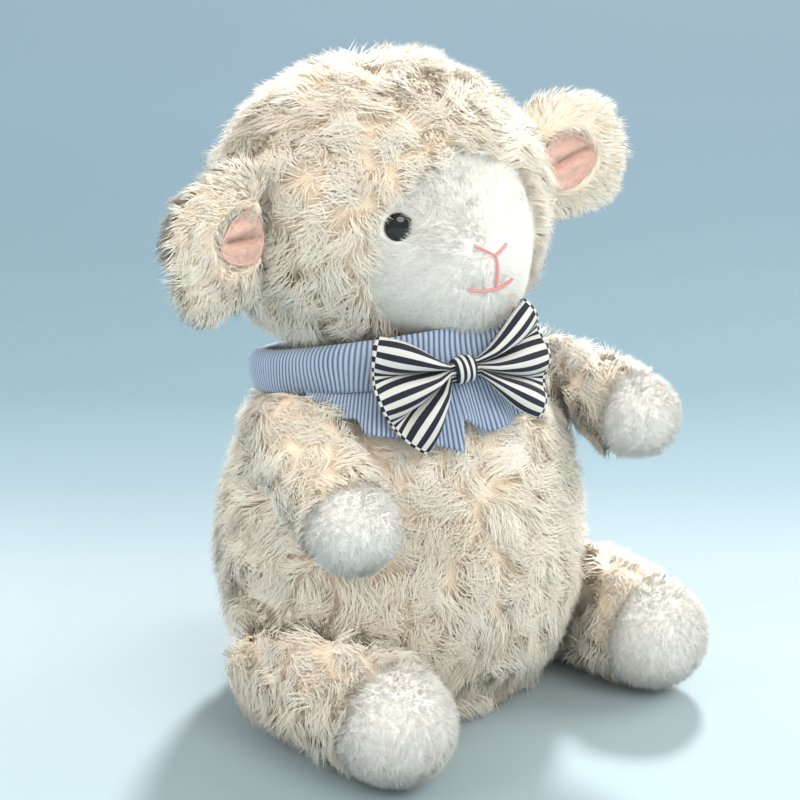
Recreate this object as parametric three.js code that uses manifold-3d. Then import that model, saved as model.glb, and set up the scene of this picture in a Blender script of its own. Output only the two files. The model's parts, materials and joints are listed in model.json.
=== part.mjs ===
// A seated plush sheep with corduroy collar and striped bow, as an assembly of its sewn and stuffed pieces.
// Millimetres and radians, +Z up. The toy faces -Y, so its own left side is +X. The origin is on the
// table, under the middle of the torso.
import * as THREE from "three";
import { mergeVertices } from "three/addons/utils/BufferGeometryUtils.js";
import Module from "manifold-3d";

const wasm = await Module();
wasm.setup();

// Fabrics and clearances
const SEAM_GAP = 0.35; // between pieces that touch
const TURN_GAP = 0.6; // between the ball of the neck and the faces that turn on it
const pile = { body: 11, limb: 8, tail: 6, face: 4 }; // plush with its pile, lying as worn
const CORDUROY = 1.8;
const RIBBON = 1.6; // a doubled and pleated layer of the bow
const OVERRUN = 6; // how far a cutter runs past the piece that it cuts
const MERGE_DISTANCE = 1e-4;
const NUDGE_SHARE = 1e-3; // of a cloth's width or length, over which its slope is taken

// Torso. Its lowest half millimetre is cut off flat, where it sits.
const torso = { width: 179, depth: 163, height: 156, flat: 0.5 };
const neckLean = THREE.MathUtils.degToRad(10); // the neck leans back, its front edge higher
const neckSetback = 6;
const TORSO_PROFILE_SHARES = [
  [0, 0],
  [0.44, 0.002],
  [0.72, 0.04],
  [0.9, 0.15],
  [0.98, 0.3],
  [1, 0.45],
  [0.965, 0.62],
  [0.885, 0.78],
  [0.785, 0.9],
  [0.685, 0.965],
  [0.42, 1],
  [0, 1],
];
const pelletBag = { width: 104, depth: 92, height: 26 };

// Neck: a ball-shaped wad of stuffing that sits half in the torso and half in the head
const neck = { radius: 33, below: 4 };

// Head, with its snout as a rounded swelling of one radial form. It is held a little aslant.
const head = { width: 163, depth: 138, height: 134, setback: 6.5, rise: 73.5 };
const headTilt = THREE.MathUtils.degToRad(3.2);
const headTurn = THREE.MathUtils.degToRad(0.4);
const headSwing = { low: THREE.MathUtils.degToRad(-30), high: THREE.MathUtils.degToRad(30) };
const headNodHighest = THREE.MathUtils.degToRad(12); // it looks up so far; its chin rests on the collar
const snout = { reach: 24.5, spread: THREE.MathUtils.degToRad(29), drop: THREE.MathUtils.degToRad(29) };
const cheek = { reach: 5, spread: THREE.MathUtils.degToRad(34) };
const cheekTurn = THREE.MathUtils.degToRad(68); // how far each cheek lies round from the front
const cheekDrop = THREE.MathUtils.degToRad(30);
const face = { width: 92, height: 87, top: 27 };
const FACE_OUTLINE_SHARES = [
  [0, 1],
  [0.25, 0.965],
  [0.5, 0.9],
  [0.8, 0.805],
  [0.95, 0.703],
  [1, 0.55],
  [0.99, 0.42],
  [0.88, 0.3],
  [0.56, 0.15],
  [0, 0],
];

// Plastic safety eyes in dimples of the pile, each held from inside by a washer on its shank
const eye = { diameter: 12.6, dome: 8.6, apart: 70, above: 1.2, sunk: 10, shank: 4, shankLength: 15 };
const dimple = { diameter: 20, ahead: 7 };
const washer = { diameter: 15, thickness: 2.4, behind: 6 };

// Embroidered nose and mouth, in satin stitch
const stitch = { width: 1.9, lift: 0.3 };
const noseLine = { width: 20, rise: 4.6, below: 13 };
const mouthLine = { width: 25, below: 26.8, sag: 2 };

// Ears: a plush leaf with a scooped front, and a pink lining in the scoop
const ear = { length: 67, width: 62, thickness: 20, above: 8, forward: 17, rootInside: 12, tipDrop: 4 };
const earShares = { taper: 1 / 3, bluntTip: 2 / 3, bluntSides: 4 / 5 };
const earTurn = THREE.MathUtils.degToRad(10); // the tips point a little forward
const earDroop = { left: THREE.MathUtils.degToRad(-2), right: THREE.MathUtils.degToRad(14) };
const lining = { length: 37, width: 33, depth: 8, thickness: 2, towardRoot: 3 };
const earFold = { low: THREE.MathUtils.degToRad(-20), high: THREE.MathUtils.degToRad(25) };

// Limbs. A swell table holds shares of the radius and of the length, from the root to the tip.
const arm = { radius: 26, length: 101, rootBehind: 20, seam: 27, apart: 140, forward: 12, height: 134 };
const armSplay = { left: THREE.MathUtils.degToRad(8), right: THREE.MathUtils.degToRad(13) };
const armDroop = { left: THREE.MathUtils.degToRad(5), right: THREE.MathUtils.degToRad(25) };
const armSwing = {
  left: { low: THREE.MathUtils.degToRad(-35), high: THREE.MathUtils.degToRad(25) }, // from where they rest
  right: { low: THREE.MathUtils.degToRad(-20), high: THREE.MathUtils.degToRad(10) },
};
const armHingeTilt = THREE.MathUtils.degToRad(22); // lowered, the arms go out past the belly
const ARM_SWELL_SHARES = [
  [0, 0],
  [0.6, 0.04],
  [0.93, 0.15],
  [1, 0.3],
  [0.96, 0.5],
  [0.88, 0.68],
  [0.83, 0.8],
  [0.73, 0.9],
  [0.45, 0.975],
  [0, 1],
];
const leg = { radius: 33, length: 134, rootBehind: 29, seam: 32, apart: 144, forward: 8, height: 34 };
const foot = { radius: 28.4, fromHip: 77, flat: 0.5 }; // its widest place, cut flat where it rests
const legSplay = THREE.MathUtils.degToRad(4);
const legDroop = Math.asin((leg.height - foot.radius + foot.flat) / foot.fromHip);
const legSpread = { low: THREE.MathUtils.degToRad(-4), high: THREE.MathUtils.degToRad(35) };
const LEG_SWELL_SHARES = [
  [0, 0],
  [0.6, 0.04],
  [0.9, 0.13],
  [1, 0.28],
  [0.93, 0.48],
  [0.86, 0.66],
  [0.855, 0.79],
  [0.75, 0.9],
  [0.47, 0.975],
  [0, 1],
];
const tail = { radius: 13, length: 46, rootBehind: 12, height: 52 };
const tailDroop = THREE.MathUtils.degToRad(48);
const tailSwing = { low: THREE.MathUtils.degToRad(-15), high: THREE.MathUtils.degToRad(35) };
const TAIL_SWELL_SHARES = [
  [0, 0],
  [0.6, 0.08],
  [0.85, 0.3],
  [1, 0.6],
  [0.8, 0.86],
  [0.45, 0.97],
  [0, 1],
];

// Corduroy collar: a band round the neck that rolls inward at its top, and a bib of two lobes
// that hangs from under its front
const collarTurn = THREE.MathUtils.degToRad(-16); // the collar sits turned to the toy's right
const band = { height: 20, below: 7.5, lip: 9, lipDrop: 4, bulge: 1.2 };
const bandShares = { roll: 2 / 5, drop: 1 / 5 }; // of the band's height, where its top rolls and dips
const bib = { underBand: 5, length: 22, shortest: 7, ruffle: 4 };
const bibHalfAngle = THREE.MathUtils.degToRad(35);
const bibFade = THREE.MathUtils.degToRad(24); // beyond the bib, where the band comes in to the torso
const BIB_FOLDS = 5;

// Bow: one pleated cloth gathered at its waist, and the knot wrapped round the waist
const bow = { halfWidth: 42, waist: 6.4, pleat: 3, bulge: 3, sweep: 1, lower: 5.5, restsOut: 8 };
const bowShares = { gathered: 1 / 6, waistPleat: 1 / 5 }; // of the half width, and of the full pleat
const fan = THREE.MathUtils.degToRad(47); // each wing spreads this far above and below its middle
const wingDroop = { left: THREE.MathUtils.degToRad(2), right: THREE.MathUtils.degToRad(12) };
const bowRoll = THREE.MathUtils.degToRad(7);
const knot = { width: 9, height: 11.5, wall: 1.6 };
const knotRoundShare = 1 / 3; // the less, the squarer its ends
const BOW_PLEATS = 2.5;

// Facets of each kind of form: round it, and along it
const FINE = { round: 22, along: 14 };
const BROAD = { round: 22, along: 11 };
const LIMB = { round: 12, along: 10 };
const INNER = { round: 12, along: 7 };
const SMALL = { round: 8, along: 5 };
const BAND = { round: 44, along: 5 };
const BIB = { round: 22, along: 5 };
const WINGS = { round: 12, along: 20 };
const SWING_STEPS = 5;

const HALF_TURN = Math.PI;
const X_AXIS = new THREE.Vector3(1, 0, 0);
const Z_AXIS = new THREE.Vector3(0, 0, 1);

const finishes = {
  cream: { color: 0xe9dccb, roughness: 0.95, metalness: 0 },
  white: { color: 0xf2f0ea, roughness: 0.95, metalness: 0 },
  pink: { color: 0xdcaea2, roughness: 0.9, metalness: 0 },
  stuffing: { color: 0xfafafa, roughness: 1, metalness: 0 },
  pellets: { color: 0xd8d8d2, roughness: 0.9, metalness: 0 },
  eyeBlack: { color: 0x0a0a0b, roughness: 0.1, metalness: 0 },
  washerWhite: { color: 0xeeeeee, roughness: 0.5, metalness: 0 },
  pinkThread: { color: 0xe58b94, roughness: 0.6, metalness: 0 },
  blueCorduroy: { color: 0x8ea2cd, roughness: 0.9, metalness: 0 },
  stripedRibbon: { color: 0x8f9098, roughness: 0.7, metalness: 0 },
};

/** A closed geometry as a solid: shared vertices merged, and the flat triangles at its poles left out. */
function solid(geometry) {
  const loose = geometry.index ? geometry.toNonIndexed() : geometry;
  const bare = new THREE.BufferGeometry().setAttribute("position", loose.getAttribute("position"));
  const merged = mergeVertices(bare, MERGE_DISTANCE);
  const corners = merged.index.array;
  const kept = [];
  for (let i = 0; i < corners.length; i += 3) {
    const [a, b, c] = corners.slice(i, i + 3);
    if (a !== b && b !== c && c !== a) kept.push(a, b, c);
  }
  return new wasm.Manifold(
    new wasm.Mesh({
      numProp: 3,
      vertProperties: merged.attributes.position.array,
      triVerts: new Uint32Array(kept),
    }),
  );
}

/** A solid back as a geometry, with flat facets. */
function geometryOf(body) {
  const mesh = body.getMesh();
  const places = new Float32Array(mesh.numVert * 3);
  for (let i = 0; i < mesh.numVert; i += 1) {
    const first = i * mesh.numProp;
    places.set(mesh.vertProperties.subarray(first, first + 3), i * 3);
  }
  const geometry = new THREE.BufferGeometry()
    .setAttribute("position", new THREE.BufferAttribute(places, 3))
    .setIndex(new THREE.BufferAttribute(mesh.triVerts, 1))
    .toNonIndexed();
  geometry.computeVertexNormals();
  return geometry;
}

/** The largest of the bodies that a cut leaves. */
function largest(body) {
  return body.decompose().reduce((most, one) => (one.volume() > most.volume() ? one : most));
}

/** Moves every vertex of a geometry by a function that changes a vector in place. */
function shaped(geometry, change) {
  const places = geometry.getAttribute("position");
  const point = new THREE.Vector3();
  for (let i = 0; i < places.count; i += 1) {
    point.fromBufferAttribute(places, i);
    change(point);
    places.setXYZ(i, point.x, point.y, point.z);
  }
  return geometry;
}

/** A new group at a joint's pivot: turned about its own Y, then X, then Z. Its origin is the joint. */
function jointGroup(parent, pivot, aboutX, aboutY, aboutZ) {
  const group = new THREE.Group();
  group.position.copy(pivot);
  group.rotation.set(aboutX, aboutY, aboutZ, "ZXY");
  parent.add(group);
  group.updateWorldMatrix(true, false);
  return group;
}

/** A solid from one group's frame as it lies in another group's frame. */
function seenFrom(group, body, owner) {
  const way = group.matrixWorld.clone().invert().multiply(owner.matrixWorld);
  return body.transform(way.elements);
}

/** A solid's mirror image from the toy's left side to its right. */
function onSide(side, body) {
  return body.transform(new THREE.Matrix4().makeScale(side, 1, 1).elements);
}

/** A moving piece, cut back from what stands still, over its joint's whole swing about an axis. */
function clearOf(body, obstacle, axis, swing) {
  let left = body.subtract(obstacle);
  for (let i = 0; i <= SWING_STEPS; i += 1) {
    const angle = THREE.MathUtils.lerp(swing.low, swing.high, i / SWING_STEPS);
    left = left.subtract(obstacle.transform(new THREE.Matrix4().makeRotationAxis(axis, -angle).elements));
  }
  return largest(left);
}

/** A smooth outline through a table of shares, scaled by a radius and a length that starts at an offset. */
function outlineOf(shares, radius, length, start, steps) {
  const knots = shares.map(([out, up]) => new THREE.Vector2(out * radius, start + up * length));
  const curve = new THREE.SplineCurve(knots);
  return curve.getPoints(steps).map((p) => new THREE.Vector2(Math.max(p.x, 0), Math.max(p.y, start)));
}

/** A solid of revolution about +Z from an outline of radius and height, closed to the axis at both ends. */
function revolved(outline, round) {
  const first = new THREE.Vector2(0, outline[0].y);
  const last = new THREE.Vector2(0, outline[outline.length - 1].y);
  const profile = [first, ...outline.filter((p) => p.x > MERGE_DISTANCE), last];
  return new THREE.LatheGeometry(profile, round).rotateX(HALF_TURN / 2);
}

/** Leans a point back with the neck: the higher it is, the more its front rises and it moves back. */
function lean(point) {
  const share = (point.z / torso.height) ** 2;
  point.z -= point.y * Math.tan(neckLean * share);
  point.y += neckSetback * share;
  return point;
}

/** The torso's outline of half width and height, before the neck leans, with its walls moved in. */
function torsoOutline(inset, steps) {
  const length = torso.height + torso.flat - 2 * inset;
  return outlineOf(TORSO_PROFILE_SHARES, torso.width / 2 - inset, length, inset - torso.flat, steps);
}

const torsoWall = torsoOutline(0, BROAD.along);

/** The torso's half width at a height, or none above it. */
function torsoHalfWidthAt(height) {
  const upper = torsoWall.findIndex((p) => p.y >= height);
  if (upper < 1) return 0;
  const [low, high] = torsoWall.slice(upper - 1, upper + 1);
  return THREE.MathUtils.mapLinear(height, low.y, high.y, low.x, high.x);
}

/** Everything below the table top, for cutting flat what rests there. */
function underTable() {
  const wide = 2 * (torso.width + leg.length);
  return solid(new THREE.BoxGeometry(wide, wide, leg.radius).translate(0, 0, -leg.radius / 2));
}

/** The seated torso, with its walls moved in by an inset. */
function torsoForm(inset, detail) {
  const squash = (torso.depth / 2 - inset) / (torso.width / 2 - inset);
  const form = revolved(torsoOutline(inset, detail.along), detail.round).scale(1, squash, 1);
  return solid(shaped(form, lean)).subtract(underTable());
}

const neckPivot = lean(new THREE.Vector3(0, 0, torso.height));
neckPivot.z -= neck.below;
const neckAxis = new THREE.Vector3(0, Math.sin(neckLean), Math.cos(neckLean));

/** The neck's ball, grown by a clearance, about its own joint. */
function neckBall(clearance) {
  return solid(new THREE.SphereGeometry(neck.radius + clearance, BROAD.round, INNER.round));
}

const headCentre = new THREE.Vector3(0, head.setback, head.rise);

/** How far the head's form reaches from its centre in a direction, with its walls moved in by an inset. */
function headReach(direction, inset) {
  const across = direction.x / (head.width / 2 - inset);
  const along = direction.y / (head.depth / 2 - inset);
  const up = direction.z / (head.height / 2 - inset);
  const swell = ({ reach, spread }, drop, turn) => {
    const level = Math.cos(drop);
    const axis = new THREE.Vector3(Math.sin(turn) * level, -Math.cos(turn) * level, -Math.sin(drop));
    return reach * Math.exp(-((direction.angleTo(axis) / spread) ** 2));
  };
  const cheeks = swell(cheek, cheekDrop, cheekTurn) + swell(cheek, cheekDrop, -cheekTurn);
  return 1 / Math.hypot(across, along, up) + swell(snout, snout.drop, 0) + cheeks;
}

/** The head with its snout, as one rounded form. */
function headForm(inset, detail) {
  const unit = new THREE.SphereGeometry(1, detail.round, detail.along).rotateX(HALF_TURN / 2);
  shaped(unit, (point) => point.normalize().multiplyScalar(headReach(point, inset)).add(headCentre));
  return solid(unit);
}

/** The point on the front of the head's form over a place beside and above its centre. */
function facePoint(beside, above, inset) {
  const aim = new THREE.Vector3();
  let near = 0;
  let far = head.depth;
  for (let i = 0; i < FINE.round; i += 1) {
    const out = (near + far) / 2;
    aim.set(beside, -out, above);
    const reach = headReach(aim.clone().normalize(), inset);
    if (aim.length() < reach) near = out;
    else far = out;
  }
  return aim.add(headCentre);
}

/** A prism along Y through the outline of the white face, grown by a clearance. */
function facePrism(clearance) {
  const half = FACE_OUTLINE_SHARES.map(
    ([out, up]) =>
      new THREE.Vector2(
        out * (face.width / 2 + clearance),
        face.top + clearance - (1 - up) * (face.height + 2 * clearance),
      ),
  );
  const mirrored = half.slice(1, -1).reverse().map((p) => new THREE.Vector2(-p.x, p.y));
  const outline = new THREE.SplineCurve([...half, ...mirrored, half[0]]).getPoints(FINE.round);
  const form = new THREE.ExtrudeGeometry(new THREE.Shape(outline.slice(0, -1)), {
    depth: head.depth,
    bevelEnabled: false,
  });
  form.rotateX(HALF_TURN / 2);
  return solid(form.translate(headCentre.x, headCentre.y, headCentre.z));
}

/** A stroke of thread through places beside and above the head's centre, lying on the white pile. */
function threadStroke(places, clearance, steps) {
  const section = new THREE.Shape().absarc(0, 0, stitch.width / 2 + clearance, 0, HALF_TURN * 2);
  const inset = pile.body - pile.face - stitch.lift;
  const points = places.map(([beside, above]) => facePoint(beside, above, inset));
  return solid(
    new THREE.ExtrudeGeometry(section, {
      steps,
      extrudePath: new THREE.CatmullRomCurve3(points),
      curveSegments: SMALL.along / 2,
      bevelEnabled: false,
    }),
  );
}

/** The embroidered nose: two short strokes that meet over an upright one. */
function noseForm(clearance) {
  const meets = -noseLine.below;
  const bend = meets + noseLine.rise / 3;
  const stemEnd = -mouthLine.below - mouthLine.sag + stitch.width + 2 * SEAM_GAP;
  const wing = (tip) => [[tip, meets + noseLine.rise], [tip / 2, bend], [0, meets]];
  const left = threadStroke(wing(noseLine.width / 2), clearance, SMALL.along);
  const right = threadStroke(wing(-noseLine.width / 2), clearance, SMALL.along);
  const stem = threadStroke([[0, meets], [0, (meets + stemEnd) / 2], [0, stemEnd]], clearance, SMALL.along);
  return left.add(right).add(stem);
}

/** The embroidered mouth: one shallow sagging stroke under the nose. */
function mouthForm(clearance) {
  const end = mouthLine.width / 2;
  const level = -mouthLine.below;
  return threadStroke([[-end, level], [0, level - mouthLine.sag], [end, level]], clearance, SMALL.round);
}

/** The place and outward axis of an eye, at the level of the fabric under the pile. */
function eyeSeat(side) {
  const centre = facePoint((side * eye.apart) / 2, eye.above, eye.sunk);
  const away = centre.clone().sub(headCentre);
  away.set(
    away.x / (head.width / 2) ** 2,
    away.y / (head.depth / 2) ** 2,
    away.z / (head.height / 2) ** 2,
  );
  return { centre, axis: away.normalize() };
}

/** A form about +Z laid along an axis from a place. */
function laidAlong(form, { centre, axis }) {
  const lie = new THREE.Quaternion().setFromUnitVectors(Z_AXIS, axis);
  return solid(form.applyQuaternion(lie).translate(centre.x, centre.y, centre.z));
}

/** A cylinder about +Z from one height to another. */
function uprightCylinder(radius, low, high, facets) {
  const form = new THREE.CylinderGeometry(radius, radius, high - low, facets);
  return form.rotateX(HALF_TURN / 2).translate(0, 0, (low + high) / 2);
}

/** A safety eye: a flattened dome on a shank, grown by a clearance. */
function eyeForm(side, clearance) {
  const dome = new THREE.SphereGeometry(eye.diameter / 2 + clearance, INNER.round, SMALL.round);
  dome.rotateX(HALF_TURN / 2).scale(1, 1, eye.dome / eye.diameter);
  const shank = uprightCylinder(eye.shank / 2 + clearance, -eye.shankLength - clearance, 0, SMALL.along);
  return laidAlong(dome, eyeSeat(side)).add(laidAlong(shank, eyeSeat(side)));
}

/** The dimple in the pile round an eye. */
function eyeDimple(side) {
  const form = new THREE.SphereGeometry(dimple.diameter / 2, INNER.round, INNER.along);
  return laidAlong(form.translate(0, 0, dimple.ahead), eyeSeat(side));
}

/** The disc that locks an eye's shank inside the head, grown by a clearance. */
function washerForm(side, clearance) {
  const low = -washer.behind - washer.thickness - clearance;
  const disc = uprightCylinder(washer.diameter / 2 + clearance, low, clearance - washer.behind, INNER.round);
  return laidAlong(disc, eyeSeat(side));
}

/** An ear's leaf about its root: wide, blunt at the tip and thin at its edges, on the left side. */
function earLeaf(inset) {
  const half = new THREE.Vector3(ear.length, ear.thickness, ear.width).divideScalar(2);
  const form = new THREE.SphereGeometry(1, FINE.along, INNER.round).rotateZ(HALF_TURN / 2);
  shaped(form, (point) => {
    const tip = (1 + point.x) / 2;
    point.y *= 1 - tip * earShares.taper;
    point.x = Math.sign(point.x) * Math.abs(point.x) ** earShares.bluntTip;
    point.z = Math.sign(point.z) * Math.abs(point.z) ** earShares.bluntSides;
    point.set(point.x * (half.x - inset), point.y * (half.y - inset), point.z * (half.z - inset));
    point.x += half.x - ear.rootInside;
    point.z -= ear.tipDrop * tip * tip;
  });
  return solid(form);
}

/** The scoop in the front of an ear, moved back by a depth and grown by a clearance. */
function earScoop(back, clearance) {
  const form = new THREE.SphereGeometry(1, INNER.round, INNER.along);
  form.scale(lining.length / 2 + clearance, lining.depth + clearance, lining.width / 2 + clearance);
  const out = ear.length / 2 - ear.rootInside - lining.towardRoot;
  return solid(form.translate(out, -ear.thickness / 2 + back, -ear.tipDrop / 2));
}

/** A limb's outer form along +Z from behind its joint to its tip, with its walls moved in by an inset. */
function limbForm(limb, shares, inset, detail) {
  const start = inset - limb.rootBehind;
  const outline = outlineOf(shares, limb.radius - inset, limb.length - 2 * inset, start, detail.along);
  return solid(revolved(outline, detail.round));
}

/** A block that holds all of a limb past its seam, or all of it before the seam. */
function limbSide(limb, past) {
  const tip = limb.length - limb.rootBehind;
  const seamAt = tip - limb.seam;
  const low = past ? seamAt + SEAM_GAP / 2 : -limb.rootBehind - OVERRUN;
  const high = past ? tip + OVERRUN : seamAt - SEAM_GAP / 2;
  const wide = 2 * limb.radius + OVERRUN;
  return solid(new THREE.BoxGeometry(wide, wide, high - low).translate(0, 0, (low + high) / 2));
}

/** A sheet of cloth as a closed slab: a grid of points, thickened each way along its normals. */
function clothSlab(pointAt, detail, thickness, closed) {
  const { round: across, along: down } = detail;
  const rows = closed ? across : across + 1;
  const nudge = NUDGE_SHARE;
  const sides = [1, -1].map((sign) =>
    Array.from({ length: rows }, (_, i) =>
      Array.from({ length: down + 1 }, (_, j) => {
        const u = i / across;
        const v = j / down;
        const alongU = pointAt(u + nudge, v).sub(pointAt(u - nudge, v));
        const alongV = pointAt(u, v + nudge).sub(pointAt(u, v - nudge));
        const normal = alongU.cross(alongV).normalize();
        return pointAt(u, v).addScaledVector(normal, (sign * thickness) / 2);
      }),
    ),
  );
  const places = [];
  const quad = (a, b, c, d) => [a, b, c, a, c, d].forEach((p) => places.push(p.x, p.y, p.z));
  const next = (i) => (closed ? (i + 1) % across : i + 1);
  const [front, back] = sides;
  for (let i = 0; i < across; i += 1) {
    for (let j = 0; j < down; j += 1) {
      quad(front[i][j], front[next(i)][j], front[next(i)][j + 1], front[i][j + 1]);
      quad(back[i][j], back[i][j + 1], back[next(i)][j + 1], back[next(i)][j]);
    }
    quad(front[i][0], back[i][0], back[next(i)][0], front[next(i)][0]);
    quad(front[i][down], front[next(i)][down], back[next(i)][down], back[i][down]);
  }
  for (let j = 0; j < down && !closed; j += 1) {
    quad(front[0][j], front[0][j + 1], back[0][j + 1], back[0][j]);
    quad(front[across][j], back[across][j], back[across][j + 1], front[across][j + 1]);
  }
  const grid = new THREE.Float32BufferAttribute(places, 3);
  return solid(new THREE.BufferGeometry().setAttribute("position", grid));
}

/** A point round the neck at an angle from the front, where the torso's section is oval. */
function roundNeck(angle, radius, height) {
  const squash = torso.depth / torso.width;
  return lean(new THREE.Vector3(Math.sin(angle) * radius, -Math.cos(angle) * radius * squash, height));
}

const bandLow = torso.height - band.below;
const bandHigh = bandLow + band.height;
const bandRadius = torsoHalfWidthAt(bandLow) + SEAM_GAP + CORDUROY / 2;
const bandOverBib = CORDUROY + 2 * SEAM_GAP; // how much further out the band lies over the bib

/** The middle of the collar band's cloth: round the neck and over the bib, from its inner lip down. */
function bandPoint(share, down) {
  const angle = share * 2 * HALF_TURN;
  const lipShare = Math.sin(angle / 2) ** 2; // none at the front, where the chin comes down
  const roll = Math.max(0, 1 - down / bandShares.roll);
  const inward = band.lip * lipShare * roll * roll;
  const drop = band.lipDrop * lipShare * Math.max(0, 1 - down / bandShares.drop);
  const bulge = band.bulge * Math.sin(down * HALF_TURN);
  const beside = Math.acos(Math.cos(angle - collarTurn));
  const overBib = 1 - THREE.MathUtils.smoothstep(beside, bibHalfAngle, bibHalfAngle + bibFade);
  const radius = bandRadius - inward + bulge + overBib * bandOverBib;
  return roundNeck(angle, radius, bandHigh - drop - down * band.height);
}

/** A block round the neck, out to a radius, and past the collar's band by a clearance up and down. */
function neckBlock(radius, clearance) {
  const form = uprightCylinder(radius, bandLow - clearance, bandHigh + clearance, BAND.round);
  return solid(shaped(form.scale(1, torso.depth / torso.width, 1), lean));
}

/** The collar's band with all that it goes round, as a plain block grown by a clearance. */
function withinBand(clearance) {
  return neckBlock(bandRadius + bandOverBib + band.bulge + CORDUROY / 2 + clearance, clearance);
}

/** The collar's band as a plain ring, grown by a clearance. */
function ringAtBand(clearance) {
  const hole = neckBlock(bandRadius - band.lip - CORDUROY / 2 - clearance, clearance + OVERRUN);
  return withinBand(clearance).subtract(hole);
}

/** The middle of the bib's cloth: across its folds, and from under the band down over the chest. */
function bibPoint(share, down) {
  const across = 2 * share - 1;
  const angle = collarTurn + across * bibHalfAngle;
  const lobe = Math.sqrt(Math.abs(Math.sin(across * HALF_TURN)));
  const length = THREE.MathUtils.lerp(bib.shortest, bib.length, lobe);
  const hidden = 1 - down * BIB.along; // its first row of facets lies under the band
  const free = Math.max(0, -hidden / (BIB.along - 1));
  const height = bandLow + Math.max(0, hidden) * bib.underBand - free * length;
  const rests = Math.max(torsoHalfWidthAt(height), torsoHalfWidthAt(bandLow));
  const ruffle = (bib.ruffle * free * (1 + Math.cos(across * BIB_FOLDS * HALF_TURN))) / 2;
  return roundNeck(angle, rests + SEAM_GAP + CORDUROY / 2 + ruffle, height);
}

/** The middle of the bow's cloth: from its right wing to its left, and down its pleated height. */
function bowPoint(share, down) {
  const across = 2 * share - 1;
  const out = Math.max(0, Math.abs(across) - bowShares.gathered) / (1 - bowShares.gathered);
  const within = across - Math.sign(across) * out * (1 - bowShares.gathered); // inside the knot
  const angle = (1 - 2 * down) * fan - THREE.MathUtils.lerp(wingDroop.right, wingDroop.left, share);
  const spread = out * (1 - bowShares.gathered) * bow.halfWidth;
  const depth = bow.pleat * Math.min(1, out + bowShares.waistPleat);
  const pleats = Math.cos((1 - 2 * down) * BOW_PLEATS * HALF_TURN) * depth;
  const bulge = Math.sin(out * HALF_TURN) * bow.bulge - bow.sweep * out * out;
  const rests = bow.restsOut * out * down * down; // the lower corners lie out on the chest
  return new THREE.Vector3(
    within * bow.halfWidth + Math.sign(across) * spread * Math.cos(angle),
    -(pleats / (1 + out) + bulge + rests),
    (bow.waist / 2) * (1 - 2 * down) + spread * Math.sin(angle),
  );
}

const toy = new THREE.Group();

/** Adds a solid to a group as a named mesh with a finish of its own. */
function addPiece(group, name, body, finish) {
  const mesh = new THREE.Mesh(geometryOf(body), new THREE.MeshStandardMaterial(finish));
  mesh.name = name;
  group.add(mesh);
}

/** The torso: its plush skin, the stuffing in it, and the bag of pellets that weighs down its seat. */
function addTorso() {
  const seat = neckBall(TURN_GAP).translate(neckPivot.toArray());
  const lowest = pile.body + SEAM_GAP - torso.flat;
  const bag = (clearance) => {
    const form = new THREE.SphereGeometry(1, INNER.round, INNER.along).rotateX(HALF_TURN / 2);
    const size = [pelletBag.width, pelletBag.depth, pelletBag.height].map((s) => s / 2 + clearance);
    return solid(form.scale(...size).translate(0, 0, lowest + pelletBag.height / 2));
  };
  const room = torsoForm(pile.body + SEAM_GAP, INNER);
  const filling = room.subtract(seat).subtract(bag(SEAM_GAP));
  const skin = torsoForm(0, BROAD).subtract(torsoForm(pile.body, INNER)).subtract(seat);
  addPiece(toy, "torso_skin", largest(skin), finishes.cream);
  addPiece(toy, "torso_stuffing", largest(filling), finishes.stuffing);
  addPiece(toy, "pellet_bag", bag(0).intersect(room), finishes.pellets);
}

/** The neck's ball of stuffing. */
function addNeck() {
  const group = jointGroup(toy, neckPivot, 0, 0, 0);
  addPiece(group, "neck_stuffing", neckBall(0), finishes.stuffing);
}

/** The head: cream skin, white face, stuffing, eyes with their washers, and the embroidery. */
function addHead(still) {
  const group = jointGroup(toy, neckPivot, 0, -headTilt, headTurn);
  const atNeck = new THREE.Matrix4().makeTranslation(neckPivot);
  const nod = new THREE.Matrix4().makeRotationX(headNodHighest);
  nod.premultiply(atNeck).multiply(atNeck.clone().invert());
  const obstacle = seenFrom(group, still.add(still.transform(nod.elements)), toy);
  const seat = neckBall(TURN_GAP);
  const axis = neckAxis.clone().transformDirection(group.matrixWorld.clone().invert());
  const clear = (body) => clearOf(body.subtract(seat), obstacle, axis, headSwing);
  const cavity = headForm(pile.body, INNER);
  const eyes = eyeForm(1, SEAM_GAP).add(eyeForm(-1, SEAM_GAP));
  const holes = eyes.add(eyeDimple(1)).add(eyeDimple(-1));
  const washers = washerForm(1, SEAM_GAP).add(washerForm(-1, SEAM_GAP));
  const threads = noseForm(SEAM_GAP).add(mouthForm(SEAM_GAP));
  const skin = headForm(0, FINE).subtract(cavity).subtract(facePrism(SEAM_GAP));
  const white = headForm(pile.body - pile.face, FINE).subtract(cavity).intersect(facePrism(0));
  const filling = headForm(pile.body + SEAM_GAP, INNER).subtract(seat).subtract(eyes).subtract(washers);
  addPiece(group, "head_skin", clear(skin.subtract(holes)), finishes.cream);
  addPiece(group, "face_panel", clear(white.subtract(holes).subtract(threads)), finishes.white);
  addPiece(group, "head_stuffing", largest(filling), finishes.stuffing);
  addPiece(group, "nose_stitches", noseForm(0), finishes.pinkThread);
  addPiece(group, "mouth_stitches", mouthForm(0), finishes.pinkThread);
  for (const [name, side] of Object.entries({ left: 1, right: -1 })) {
    const bored = washerForm(side, 0).subtract(eyeForm(side, SEAM_GAP));
    addPiece(group, `${name}_eye`, eyeForm(side, 0), finishes.eyeBlack);
    addPiece(group, `${name}_eye_washer`, bored, finishes.washerWhite);
    addEar(group, name, side);
  }
}

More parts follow.
